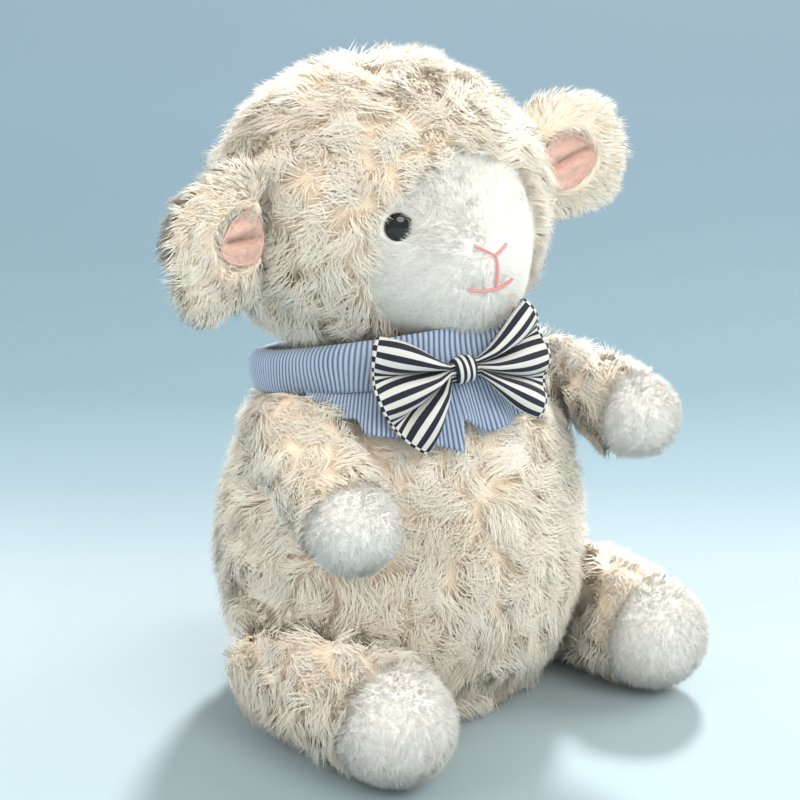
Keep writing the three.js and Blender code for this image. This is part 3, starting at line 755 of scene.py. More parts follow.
@dataclass
class Strands:
    """Turns curved paths into one closed mesh of thin tapered fibres.

    The paths are fibres by points by three coordinates. Each fibre has its skin's normal, a
    thickness, and a tone from 0 to 1.
    """

    paths: Array
    normals: Array
    thickness: Array
    tones: Array

    SIDES = 3
    TAPER = 0.45
    ROUNDNESS = 0.12
    FLOOR_GAP = 0.25
    MAP_EDGE = 0.02

    def rings(self) -> Array:
        """Set a ring of points round each path point but the last.

        The radius falls as one less the taper times the square of the share along the fibre.

        Returns:
            Fibres by rings by sides by three coordinates.
        """
        across, over = sweep_axes(self.paths, (0.31, 0.17, 0.93))
        count = self.paths.shape[1]
        taper = 1 - self.TAPER * (np.arange(count - 1) / (count - 1)) ** 2
        radius = self.thickness[:, None, None, None] / 2 * taper[None, :, None, None]
        turn = (np.arange(self.SIDES) * TAU / self.SIDES)[:, None]
        ring = np.cos(turn) * across[:, :-1, None] + np.sin(turn) * over[:, :-1, None]
        return self.paths[:, :-1, None] + radius * ring

    def faces(self) -> Array:
        """Number one fibre's triangles, and repeat them for all.

        Returns:
            The triangles.
        """
        levels, sides = self.paths.shape[1] - 1, self.SIDES
        found = [[0, 2, 1]]
        for level in range(levels - 1):
            for side in range(sides):
                a, b = level * sides + side, level * sides + (side + 1) % sides
                found += [[a, b, b + sides], [a, b + sides, a + sides]]
        top = (levels - 1) * sides
        found += [[top + side, top + (side + 1) % sides, levels * sides] for side in range(sides)]
        each = levels * sides + 1
        return (np.arange(len(self.paths))[:, None, None] * each + np.array(found)).reshape(-1, 3)

    def object(self, name: str) -> Piece:
        """Build the mesh, shaded mostly by the skin's normals.

        Args:
            name: The object's name.

        Returns:
            The object.
        """
        rings = self.rings()
        count, levels = rings.shape[0], rings.shape[1]
        points = np.concatenate([rings.reshape(count, -1, 3), self.paths[:, -1:]], 1)
        points[..., 2] = np.maximum(points[..., 2], self.FLOOR_GAP)
        share = np.append(np.repeat(np.arange(levels) / levels, self.SIDES), 1)
        place = np.stack(np.broadcast_arrays(self.tones[:, None], share[None]), -1)
        place = place * (1 - 2 * self.MAP_EDGE) + self.MAP_EDGE
        made = mesh_object(name, points.reshape(-1, 3), [self.faces()], place.reshape(-1, 2))
        out = (rings - self.paths[:, :-1, None]).reshape(count, -1, 3)
        own = unit(np.concatenate([out, np.zeros((count, 1, 3))], 1))
        soft = unit(own * self.ROUNDNESS + self.normals[:, None])
        made.data.normals_split_custom_set_from_vertices(soft.reshape(-1, 3).astype(np.float32))
        return made


def nearest(points: Array, centres: Array, block: int = 4000) -> Array:
    """Find each point's nearest centre, a block of points at a time.

    Args:
        points: The points.
        centres: The centres.
        block: How many points to measure at once.

    Returns:
        The centres' numbers.
    """
    found = np.empty(len(points), int)
    centres = centres.astype(np.float32)
    for start in range(0, len(points), block):
        part = points[start : start + block].astype(np.float32)
        gaps = (centres**2).sum(1) - 2 * part @ centres.T
        found[start : start + block] = gaps.argmin(1)
    return found


class Coat:
    """Grows a pile on a skin, in locks that lie together."""

    MIDDLE_RISE, MIDDLE_RUN, TIP_CURL = 0.82, 0.28, -0.5
    ROOT_DEPTH = 0.6
    TURN_LIMIT, CURL_LIMIT = 2.2, 2
    LOCK_HEIGHTS, LOCK_RUNS = (0.82, 1.08), (0.7, 1.2)
    FIBRE_HEIGHTS, FIBRE_PULLS, FIBRE_WIDTHS = (0.8, 1.08), (0.6, 1.1), (0.75, 1.25)
    STRAY_TURN, STRAY_TIP = 0.45, 0.8 / 8
    MIDDLE_PULL, MIDDLE_SPREAD, TIP_SPREAD = 0.45, 0.65, 0.25
    LOCK_TONE = 0.75

    def __init__(self, pile: Pile, seed: int) -> None:
        """Keep the pile, and seed all its chance."""
        self.pile, self.chance = pile, np.random.default_rng(seed)

    def scatter(self, skin: Piece, density: float) -> tuple[Array, Array]:
        """Choose places on a skin.

        Args:
            skin: The skin.
            density: Places per square millimetre.

        Returns:
            The places and their normals.
        """
        points, normals, triangles = mesh_arrays(skin.data)
        a, b, c = (points[triangles[:, k]] for k in range(3))
        areas = np.linalg.norm(np.cross(b - a, c - a), axis=1) / 2
        count = int(areas.sum() * density)
        which = self.chance.choice(len(areas), count, p=areas / areas.sum())
        u, v = self.chance.random((2, count))
        over = u + v > 1
        u, v = np.where(over, 1 - u, u)[:, None], np.where(over, 1 - v, v)[:, None]
        corners = triangles[which]
        mixed = [(1 - u - v) * array[corners[:, 0]] + u * array[corners[:, 1]] + v * array[corners[:, 2]]
                 for array in (points, normals)]
        return mixed[0], unit(mixed[1])

    def lay(self, roots: Array, normals: Array, nap: Nap, lots: dict[str, Array]) -> Array:
        """Curve fibres out of their roots.

        Args:
            roots: The roots.
            normals: The skin's normals there.
            nap: How the fibres lie.
            lots: Each fibre's lot in its lock's chance.

        Returns:
            Control points, fibres by three by three coordinates.
        """
        comb = unit(nap.comb - (nap.comb * normals).sum(1, keepdims=True) * normals)
        aside = np.cross(normals, comb)
        turn = np.radians(self.pile.swirl) * lots["turn"][:, None]
        way = np.cos(turn) * comb + np.sin(turn) * aside
        side = np.cross(normals, way)
        height, run = (nap.height * lots["height"])[:, None], (nap.run * lots["run"])[:, None]
        curl = self.pile.curl * (nap.run / self.pile.run * lots["curl"])[:, None]
        middle = roots + normals * height * self.MIDDLE_RISE + way * run * self.MIDDLE_RUN + side * curl
        tip = roots + normals * height + way * run + side * curl * self.TIP_CURL
        return np.stack([roots, middle, tip], 1)

    def grow(self, name: str, body: str, skin: Piece, nap_of: NapRule, parts: int = 1) -> None:
        """Grow the pile on a skin.

        Each fibre is a parabola through its root and tip, drawn toward the fibre that leads its lock.

        Args:
            name: The pieces' name.
            body: The body that they ride on.
            skin: The skin.
            nap_of: Gives the nap at places with normals.
            parts: How many pieces to make of it, split from left to right.
        """
        pile, chance = self.pile, self.chance
        guides, guide_normals = self.scatter(skin, 1 / pile.lock**2)
        roots, normals = self.scatter(skin, pile.density)
        nap = nap_of(roots, normals)
        roots, normals, nap = roots[nap.keep], normals[nap.keep], nap.kept()
        mine = nearest(roots, guides)
        count = len(guides)
        lots = {
            "turn": chance.normal(0, 1, count).clip(-self.TURN_LIMIT, self.TURN_LIMIT),
            "height": chance.uniform(*self.LOCK_HEIGHTS, count),
            "run": chance.uniform(*self.LOCK_RUNS, count),
            "curl": chance.normal(0, 1, count).clip(-self.CURL_LIMIT, self.CURL_LIMIT),
        }
        lead = self.lay(guides, guide_normals, nap_of(guides, guide_normals), lots)
        own = {key: lot[mine] for key, lot in lots.items()}
        own["height"] = own["height"] * chance.uniform(*self.FIBRE_HEIGHTS, len(roots))
        own["turn"] = own["turn"] + chance.normal(0, self.STRAY_TURN, len(roots))
        paths = self.lay(roots, normals, nap, own)
        pull = pile.gather * chance.uniform(*self.FIBRE_PULLS, len(roots))
        for level, share, spread in ((1, self.MIDDLE_PULL, self.MIDDLE_SPREAD), (2, 1.0, self.TIP_SPREAD)):
            target = lead[mine, level] + spread * (roots - guides[mine])
            paths[:, level] += (pull * share)[:, None] * (target - paths[:, level])
        paths[:, 2] += chance.normal(0, self.STRAY_TIP, (len(roots), 3)) * nap.height[:, None]
        t = (np.arange(pile.bends + 1) / pile.bends)[None, :, None]
        curved = (1 - t) ** 2 * paths[:, :1] + 2 * t * (1 - t) * paths[:, 1:2] + t**2 * paths[:, 2:]
        curved[:, 0] -= normals * self.ROOT_DEPTH
        tones = chance.random(count)[mine] * self.LOCK_TONE
        tones = tones + chance.random(len(roots)) * (1 - self.LOCK_TONE)
        widths = pile.thickness * chance.uniform(*self.FIBRE_WIDTHS, len(roots))
        for number, index in enumerate(np.array_split(np.argsort(roots[:, 0]), parts)):
            strands = Strands(curved[index], normals[index], widths[index], tones[index])
            label = name if parts == 1 else f"{name}_{number + 1}"
            dress(strands.object(label), body, pile.slot, pile.finish)


# Padded parts


@dataclass(frozen=True)
class Padded:
    """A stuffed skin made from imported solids; each kind says how deep its pile is and how it lies."""

    body: str
    solids: tuple[str, ...]
    place: Place | None = None
    side: Side = Side.LEFT
    within: tuple[str, ...] = ()
    voxel: float = 2.5
    cap: float = 2.5
    fill: float = 0.7
    pile_depth: float = 4.0

    PRESSURE = 4
    FRAMES = 20
    FLOOR_GAP = 0.6

    def start(self, frame: dict) -> Piece:
        """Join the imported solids, remesh them, and draw them in by the pile's depth.

        Args:
            frame: The loaded frame.

        Returns:
            The skin before it swells.
        """
        points, faces, first = [], [], 0
        for node in (*self.solids, *self.within):
            corners, _, triangles = mesh_arrays(frame["nodes"][node].data)
            points.append(corners)
            faces.append(triangles + first)
            first += len(corners)
        made = mesh_object(f"{self.body}_padding", np.vstack(points), [np.vstack(faces)])
        remesh = made.modifiers.new("remesh", "REMESH")
        remesh.mode, remesh.voxel_size = "VOXEL", self.voxel * MM
        smooth = made.modifiers.new("smooth", "SMOOTH")
        smooth.factor, smooth.iterations = 0.6, 6
        settle(made)
        drawn, normals, _ = mesh_arrays(made.data)
        write_points(made.data, drawn - normals * self.inset(drawn, normals)[:, None])
        return made

    def swell(self, made: Piece) -> None:
        """Give the skin its cloth, pressed out by the stuffing.

        Args:
            made: The skin.
        """
        cloth = made.modifiers.new("cloth", "CLOTH")
        cloth.settings.use_pressure = True
        cloth.settings.uniform_pressure_force = self.PRESSURE
        cloth.settings.quality = 5
        cloth.settings.effector_weights.gravity = 0
        cloth.collision_settings.use_collision = False
        cloth.point_cache.frame_start, cloth.point_cache.frame_end = 1, self.FRAMES

    def finish_off(self, made: Piece, before: Array) -> None:
        """Cap how far the cloth went, apply it, smooth it, and dress it in place of its solids.

        Args:
            made: The skin.
            before: Its vertices before it swelled.
        """
        settle(made)
        moved = mesh_arrays(made.data)[0] - before
        length = np.linalg.norm(moved, axis=1, keepdims=True)
        points = before + moved * np.minimum(1, self.cap / np.maximum(length, TINY))
        points[:, 2] = np.maximum(points[:, 2], self.FLOOR_GAP)
        write_points(made.data, points)
        made.modifiers.new("round", "SUBSURF").levels = 1
        settle(made)
        dress(made, self.body, "cream_plush", CREAM_GROUND, *self.solids)

    def inset(self, points: Array, normals: Array) -> Array:
        """Give the pile's depth at places on the solid; some kinds vary it."""
        return np.full(len(points), self.pile_depth)

    def cover(self, skin: Piece) -> None:
        """Grow the coats; each kind has its own."""
        raise NotImplementedError


@dataclass(frozen=True)
class Torso(Padded):
    """The torso: it leans back at the neck, and its pile is pressed where something lies on it."""

    body: str = "torso"
    solids: tuple[str, ...] = ("torso_skin", "torso_stuffing")
    within: tuple[str, ...] = ("pellet_bag",)
    voxel: float = 6.0
    cap: float = 3.5
    pile_depth: float = 8
    sat_on_depth: float = 1.2
    collar_at: float = 150
    ring_radius: float = 48
    ring_height: float = 6
    run: float = 12.0
    limb_hole: tuple[float, float] = (16, 17)

    def inset(self, points: Array, normals: Array) -> Array:
        """Give the pile's depth, small where the torso sits."""
        sat_on = smoothstep(-normals[:, 2], 0.55, 0.95) * smoothstep(-points[:, 2], -14, -4)
        return self.pile_depth - (self.pile_depth - self.sat_on_depth) * sat_on

    def nap(self, points: Array, normals: Array) -> Nap:
        """Comb the pile down, pressed under the collar and bare where a limb is sewn on.

        Args:
            points: Places on the skin.
            normals: Its normals.

        Returns:
            The nap.
        """
        from_neck = np.hypot(points[:, 0], points[:, 1] - NECK_CENTRE[1])
        in_ring = (points[:, 2] >= self.collar_at) & (from_neck < self.ring_radius)
        keep = (points[:, 2] < self.collar_at) | in_ring
        keep &= ~((normals[:, 2] < -0.8) & (points[:, 2] < 6))
        for places, radius in zip((ARMS, LEGS), self.limb_hole):
            for place in places.values():
                own = place.to_own(points + normals * 6)
                keep &= ~((np.hypot(own[:, 0], own[:, 1]) < radius) & (own[:, 2] > -8) & (own[:, 2] < 70))
        turned = np.degrees(np.arctan2(points[:, 0], -points[:, 1])) - COLLAR_TURN_DEG
        bib = (1 - smoothstep(np.abs(turned), 34, 46)) * smoothstep(points[:, 2], 116, 128)
        collar = smoothstep(points[:, 2], 134, 146)
        pressed = LONG.height * (1 - 0.72 * np.maximum(collar, bib * 0.7))
        height = np.where(in_ring, self.ring_height, pressed)
        return Nap(keep, DOWN + 0.25 * normals, height, np.full(len(points), self.run))

    def cover(self, skin: Piece) -> None:
        """Grow the torso's pile."""
        Coat(LONG, 21).grow("torso_pile", self.body, skin, self.nap, 4)


@dataclass(frozen=True)
class Tail(Padded):
    """The short tail."""

    body: str = "tail"
    solids: tuple[str, ...] = ("tail_skin", "tail_stuffing")
    place: Place | None = TAIL
    cap: float = 1.0
    height: float = 5.2
    run: float = 6.5

    def nap(self, points: Array, normals: Array) -> Nap:
        """Comb the pile to the tip.

        Args:
            points: Places on the skin.
            normals: Its normals.

        Returns:
            The nap.
        """
        comb = np.array(self.place.z) + DOWN * 0.3 + np.zeros_like(points)
        height, run = (np.full(len(points), size) for size in (self.height, self.run))
        return Nap(self.place.to_own(points)[:, 2] > -2, comb, height, run)

    def cover(self, skin: Piece) -> None:
        """Grow the tail's pile."""
        Coat(LONG, 22).grow("tail_pile", self.body, skin, self.nap)


@dataclass(frozen=True)
class Limb(Padded):
    """An arm or a leg: cream to its seam, and white past it."""

    pile_depth: float = 6
    end: str = "paw"
    seam: float = 54
    seed: int = 56
    height: float = 8.0
    run: float = 11

    def inset(self, points: Array, normals: Array) -> Array:
        """Give the pile's depth, less on the white end and at the root.

        Args:
            points: Places on the solid.
            normals: Its normals.

        Returns:
            The depths.
        """
        along = self.place.to_own(points)[:, 2]
        cream = self.pile_depth - 3.2 * smoothstep(along, self.seam - 4, self.seam + 4)
        return cream * (0.5 + 0.5 * smoothstep(along, -14, 4))

    def cream_nap(self, points: Array, normals: Array) -> Nap:
        """Comb the cream pile to the seam, flat on the near arm's shoulder.

        Args:
            points: Places on the skin.
            normals: Its normals.

        Returns:
            The nap.
        """
        along = self.place.to_own(points)[:, 2]
        near_seam = smoothstep(-along, -self.seam, -self.seam + 14)
        shoulder = smoothstep(points[:, 2], 116, 138) * (1 - smoothstep(along, 22, 46))
        shoulder *= self.side is Side.RIGHT
        comb = np.array(self.place.z) * 0.8 + DOWN * 0.55 + DOWN * shoulder[:, None]
        height = self.height * (0.75 + 0.25 * near_seam) * (1 - 0.6 * shoulder)
        return Nap(along < self.seam + 1, comb, height, self.run * (0.5 + 0.5 * near_seam))

    def white_nap(self, points: Array, normals: Array) -> Nap:
        """Comb the white pile in toward the limb's axis.

        Args:
            points: Places on the skin.
            normals: Its normals.

        Returns:
            The nap.
        """
        own = self.place.to_own(points)
        comb = -unit(self.place.turn(own * [1, 1, 0])) * 0.4 + np.array(self.place.z) * 0.2 + DOWN * 0.5
        height, run = (np.full(len(points), size) for size in (SHORT.height, SHORT.run))
        return Nap(own[:, 2] > self.seam - 1.5, comb, height, run)

    def cover(self, skin: Piece) -> None:
        """Whiten the skin past the seam, and grow both piles.

        Args:
            skin: The padded skin.
        """
        put(skin, CREAM_GROUND, WHITE_GROUND)
        patch(skin, lambda points: self.place.to_own(points)[:, 2] > self.seam - 1)
        seed = self.seed + 4 * self.side.value
        Coat(LONG, seed).grow(f"{self.body}_pile", self.body, skin, self.cream_nap)
        end = f"{self.side.name.lower()}_{self.end}_pile"
        Coat(SHORT, seed + 1).grow(end, self.body, skin, self.white_nap)


@dataclass(frozen=True)
class Ear(Padded):
    """An ear: a plush leaf with a pink lining in its dish."""

    cap: float = 0.8
    fill: float = 0.3
    pile_depth: float = 3.4
    lining_low: float = -2
    lining_half: tuple[float, float] = (14.5, 12.5)
    bare_half: tuple[float, float] = (15.5, 13.2)
    heights: tuple[float, float] = (3.6, 4.2)
    runs: tuple[float, float] = (6.5, 7.5)
    facets: int = 72
    rings: int = 20

    def lining_fit(self) -> tuple[float, float]:
        """Give the middle of the lining along the ear, and its size."""
        return (17, 1.0) if self.side is Side.LEFT else (18, 0.86)

    def inset(self, points: Array, normals: Array) -> Array:
        """Give the pile's depth, little behind the lining.

        Args:
            points: Places on the solid.
            normals: Its normals.

        Returns:
            The depths.
        """
        own = self.place.to_own(points) * [self.side.value, 1, 1]
        facing = normals @ np.array(self.place.y)
        dish = np.linalg.norm((own[:, [0, 2]] - [18.5, self.lining_low]) / [17, 15], axis=1)
        in_dish = (1 - smoothstep(dish, 0.95, 1.3)) * (facing < 0.2)
        return self.pile_depth * (1 - 0.75 * in_dish)

    def nap(self, points: Array, normals: Array) -> Nap:
        """Comb the pile to the tip and, in front, away from the lining and over its rim.

        Args:
            points: Places on the skin.
            normals: Its normals.

        Returns:
            The nap.
        """
        mirror = [self.side.value, 1, 1]
        own = self.place.to_own(points) * mirror
        front = normals @ np.array(self.place.y) < 0.1
        start, size = self.lining_fit()
        bare = np.array(self.bare_half) * size
        dish = np.linalg.norm((own[:, [0, 2]] - [start, self.lining_low]) / bare, axis=1)
        middle = unit(own * [1, 0, 1] - [16, 0, 0])
        rim = smoothstep(dish, 1.0, 1.5)[:, None]
        tipward = middle * 0.7 + [0.5, 0, 0]
        out = tipward * rim + (middle * -0.6 + [0.25, 0, 0]) * (1 - rim)
        comb = self.place.turn(np.where(front[:, None], out, tipward) * mirror) + DOWN * 0.25
        fluff = 1.0 if self.side is Side.LEFT else 1.2
        height = np.where(front, self.heights[0] * (0.8 + 0.2 * rim[:, 0]), self.heights[1]) * fluff
        run = np.where(front, self.runs[0] * (0.6 + 0.4 * rim[:, 0]), self.runs[1]) * fluff
        return Nap((dish > 0.84) | ~front, comb, height, run)

    def lining(self) -> Piece:
        """Build the lining: a dish that is a quarter of an ellipse deep, with a folded crease.

        Returns:
            The lining.
        """
        turn = np.linspace(0, TAU, self.facets, endpoint=False)[:, None]
        share = np.linspace(0.02, 1, self.rings)[None]
        start, size = self.lining_fit()
        x = start + self.lining_half[0] * size * share * np.cos(turn)
        up = self.lining_half[1] * size * share * np.sin(turn) * (1 - 0.3 * np.cos(turn))
        beyond = x - 18
        y = -9.4 + 5.2 * np.sqrt(np.maximum(0, 1 - (size * share) ** 2 * 0.98)) + 0 * turn
        y = y + 2.8 * hump(up - 0.35 * beyond, 1.5) * (1 - share**4)
        y = y - 2.8 * hump(up - 4.8 - 0.2 * beyond, 3.2) * (1 - share**2)
        y = y - 2.2 * hump(up + 5 - 0.3 * beyond, 4) * (1 - share**2)
        front = np.stack([x, y, up + self.lining_low], -1).reshape(-1, 3)
        own = np.concatenate([front, front + [0, 0.8, 0]]) * [self.side.value, 1, 1]
        faces, count = grid_faces(self.facets, self.rings, True), len(front)
        inner = np.arange(self.facets) * self.rings
        rim = inner + self.rings - 1
        edge = np.stack([rim, np.roll(rim, -1), np.roll(rim, -1) + count, rim + count], -1)
        parts = [np.vstack([faces, faces[:, ::-1] + count, edge]), np.vstack([inner[::-1], inner + count])]
        if self.side is Side.LEFT:
            parts = [part[:, ::-1] for part in parts]
        made = mesh_object(f"{self.body}_velvet", self.place.to_world(own), parts)
        dress(made, self.body, "pink_lining", PINK_GROUND, f"{self.body}_lining")
        return made

    def lining_nap(self, points: Array, normals: Array) -> Nap:
        """Comb the lining's velour outward.

        Args:
            points: Places on the lining.
            normals: Its normals.

        Returns:
            The nap.
        """
        comb = np.array(self.place.x) * 0.6 + DOWN * 0.6 + np.zeros((len(points), 1))
        height, run = (np.full(len(points), size) for size in (VELOUR.height, VELOUR.run))
        return Nap(normals @ np.array(self.place.y) < -0.05, comb, height, run)

    def cover(self, skin: Piece) -> None:
        """Grow the ear's pile, and line it with velour.

        Args:
            skin: The padded skin.
        """
        Coat(EAR_PILE, 50 + self.side.value).grow(f"{self.body}_pile", self.body, skin, self.nap)
        velour = Coat(VELOUR, 60 + self.side.value)
        velour.grow(f"{self.body}_velour", self.body, self.lining(), self.lining_nap)


def padded_parts() -> list[Padded]:
    """List the padded parts.

    Returns:
        The parts, in the order in which they are made.
    """
    found = [Torso(), Tail()]
    for side in Side:
        word = side.name.lower()
        arm_solids = (f"{word}_sleeve", f"{word}_paw", f"{word}_arm_stuffing")
        leg_solids = (f"{word}_leg_skin", f"{word}_foot", f"{word}_leg_stuffing")
        found += [
            Limb(f"{word}_arm", arm_solids, ARMS[side], side, voxel=4.0),
            Limb(f"{word}_leg", leg_solids, LEGS[side], side, voxel=4.5, end="foot", seam=73, seed=63),
            Ear(f"{word}_ear", (f"{word}_ear_plush",), EARS[side], side),
        ]
    return found


def make_padded(frame: dict) -> None:
    """Make all padded parts; their cloth swells together.

    Args:
        frame: The loaded frame.
    """
    parts = padded_parts()
    skins = [part.start(frame) for part in parts]
    before = [mesh_arrays(skin.data)[0] for skin in skins]
    for part, skin in zip(parts, skins):
        part.swell(skin)
    for number in range(Padded.FRAMES):
        bpy.context.scene.frame_set(number + 1)
    for part, skin, points in zip(parts, skins, before):
        part.finish_off(skin, points)
    bpy.context.scene.frame_set(1)
    for part, skin in zip(parts, skins):
        part.cover(skin)


# Head, face and neck


@dataclass(frozen=True)
class HeadShape:
    """The head's round form with its snout and cheeks, in the head's own frame.

    A swelling has a reach, a spread and a drop; its reach fades with e to the power of minus the
    square of the angle from its axis over the spread.
    """

    centre: Triple = HEAD_CENTRE
    half: Triple = HEAD_HALF
    snout: Triple = (24.5, 29, 29)
    cheek: Triple = (5, 34, 30)
    cheek_turn: float = 68
    face_half_width: float = 46
    face_height: float = 87
    face_top: float = 27
    eye_beside: float = 35.0
    eye_above: float = 1.2
    eye_depth: tuple[float, float] = (10.4, 13)

    def swell(self, ways: Array, form: Triple, turn: float) -> Array:
        """Swell the form round one axis.

        Args:
            ways: Unit directions from the centre.
            form: Reach, spread and drop of the swelling, the last two in degrees.
            turn: The axis's turn from the front, in degrees.

        Returns:
            The added reach.
        """
        reach, spread, drop = form
        level, side = math.cos(math.radians(drop)), math.radians(turn)
        axis = np.array([math.sin(side) * level, -math.cos(side) * level, -math.sin(math.radians(drop))])
        return reach * hump(np.degrees(np.arccos(np.clip(ways @ axis, -1, 1))), spread)

    def reach(self, ways: Array, inset: float) -> Array:
        """Measure from the centre to the surface, which lies inside the pile's tips by the inset.

        Args:
            ways: Unit directions from the centre.
            inset: The inset.

        Returns:
            The distances.
        """
        round_part = 1 / np.linalg.norm(ways / (np.array(self.half) - inset), axis=-1)
        left, right = (self.swell(ways, self.cheek, turn) for turn in (self.cheek_turn, -self.cheek_turn))
        return round_part + self.swell(ways, self.snout, 0) + (left + right)

    def face_point(self, beside: Array, above: Array, inset: float) -> Array:
        """Find points on the front by halving the way between the centre and far outside.

        Args:
            beside: Places across from the centre.
            above: Places up from the centre.
            inset: How far inside the pile's tips the points lie.

        Returns:
            The points, in the head's frame.
        """
        near, far = np.zeros_like(beside, float), np.full_like(beside, 138.0, float)
        for _ in range(24):
            out = (near + far) / 2
            aim = np.stack([beside, -out, above], -1)
            inside = np.linalg.norm(aim, axis=-1) < self.reach(unit(aim), inset)
            near, far = np.where(inside, out, near), np.where(inside, far, out)
        return np.stack([beside, -near, above], -1) + self.centre

    def outline(self) -> Array:
        """Run round the white face's edge.

        Returns:
            Points across and up from the centre.
        """
        shares = np.array([[0, 1], [0.25, 0.965], [0.5, 0.9], [0.8, 0.805], [0.95, 0.703],
                           [1, 0.55], [0.99, 0.42], [0.88, 0.3], [0.56, 0.15], [0, 0]])
        up = self.face_top - (1 - shares[:, 1]) * self.face_height
        half = np.stack([shares[:, 0] * self.face_half_width, up], -1)
        return spline(np.vstack([half, half[-2:0:-1] * [-1, 1], half[:1]]), 120)

    def beyond_face(self, own: Array) -> Array:
        """Measure how far points are outside the white face.

        Args:
            own: Points in the head's frame.

        Returns:
            The distances, negative inside the face.
        """
        at = (own - self.centre)[:, [0, 2]]
        edge = self.outline()
        start, along = edge[:-1], np.diff(edge, axis=0)
        away = at[:, None] - start
        share = np.clip((away * along).sum(-1) / np.maximum((along**2).sum(-1), TINY), 0, 1)
        gap = np.linalg.norm(away - share[..., None] * along, axis=-1).min(1)
        x, y = at[:, :1], at[:, 1:]
        x0, y0, x1, y1 = edge[:-1, 0], edge[:-1, 1], edge[1:, 0], edge[1:, 1]
        crossing = (x1 - x0) * (y - y0) / np.where(y1 == y0, TINY, y1 - y0) + x0
        inside = (((y0 > y) != (y1 > y)) & (x < crossing)).sum(1) % 2 == 1
        front = (own - self.centre)[:, 1] < 0
        return np.where(inside & front, -gap, np.where(front, gap, 60))

    def eye_seat(self, side: Side) -> tuple[Array, Array]:
        """Find an eye's place and outward axis; the hidden one lies deeper.

        Args:
            side: The eye's side.

        Returns:
            The place and the axis, in the head's frame.
        """
        depth = self.eye_depth[side is Side.LEFT]
        beside, above = np.array([[side.value * self.eye_beside], [self.eye_above]])
        centre = self.face_point(beside, above, depth)[0]
        return centre, unit((centre - self.centre) / np.array(self.half) ** 2)


@dataclass(frozen=True)
class Embroidery:
    """The satin-stitched nose and mouth; lengths in millimetres."""

    shape: HeadShape
    inset: float = 7.6
    width: float = 1.1
    pitch: float = 0.36
    thread: float = 0.24

    def strokes(self) -> list[Array]:
        """Place the strokes across and up from the head's centre.

        Returns:
            Three strokes of the nose and one of the mouth.
        """
        nose = [spline(np.array(places), 40) for places in (
            [[-10, -8.4], [-5.5, -11.2], [-1, -13.8]],
            [[7, -10.4], [3.5, -12.2], [-1, -13.8]],
            [[-1, -13.8], [-1.2, -19], [-3.2, -26.4]])]
        mouth = spline(np.array([[-16, -26.2], [-10, -27.4], [-3.2, -27.4], [2, -26.8], [6.8, -25.2]]), 80)
        return [*nose, mouth]

    def wraps(self, stroke: Array) -> Array:
        """Lay thread across a stroke, wrap beside wrap, each slanted and arched.

        Args:
            stroke: Points across and up from the head's centre.

        Returns:
            Paths of the wraps, in the head's frame.
        """
        line = self.shape.face_point(stroke[:, 0], stroke[:, 1], self.inset)
        steps = np.linalg.norm(np.diff(line, axis=0), axis=1)
        far = np.concatenate([[0], np.cumsum(steps)])
        count = int(far[-1] / self.pitch)
        at = np.linspace(0, far[-1], count)
        line = np.stack([np.interp(at, far, line[:, k]) for k in range(3)], -1)
        along = unit(np.gradient(line, axis=0))
        out = unit(line - self.shape.centre)
        side = unit(np.cross(along, out))
        share = np.linspace(-1, 1, 9)[None, :, None]
        taper = (0.75 + 0.25 * np.sin(np.linspace(0, math.pi, count)))[:, None, None]
        slant = along[:, None] * share * 0.25
        arch = out[:, None] * (0.75 - 1.2 * share**4)
        return line[:, None] + side[:, None] * share * self.width / 2 * taper + slant + arch

    def make(self) -> None:
        """Build both pieces."""
        strokes = self.strokes()
        for word, group in (("nose", strokes[:3]), ("mouth", strokes[3:])):
            paths = HEAD.to_world(np.concatenate([self.wraps(stroke) for stroke in group]))
            piece = mesh_object(f"{word}_satin", *tubes(paths, self.thread, 6))
            dress(piece, "head", "pink_thread", THREAD, f"{word}_stitches")


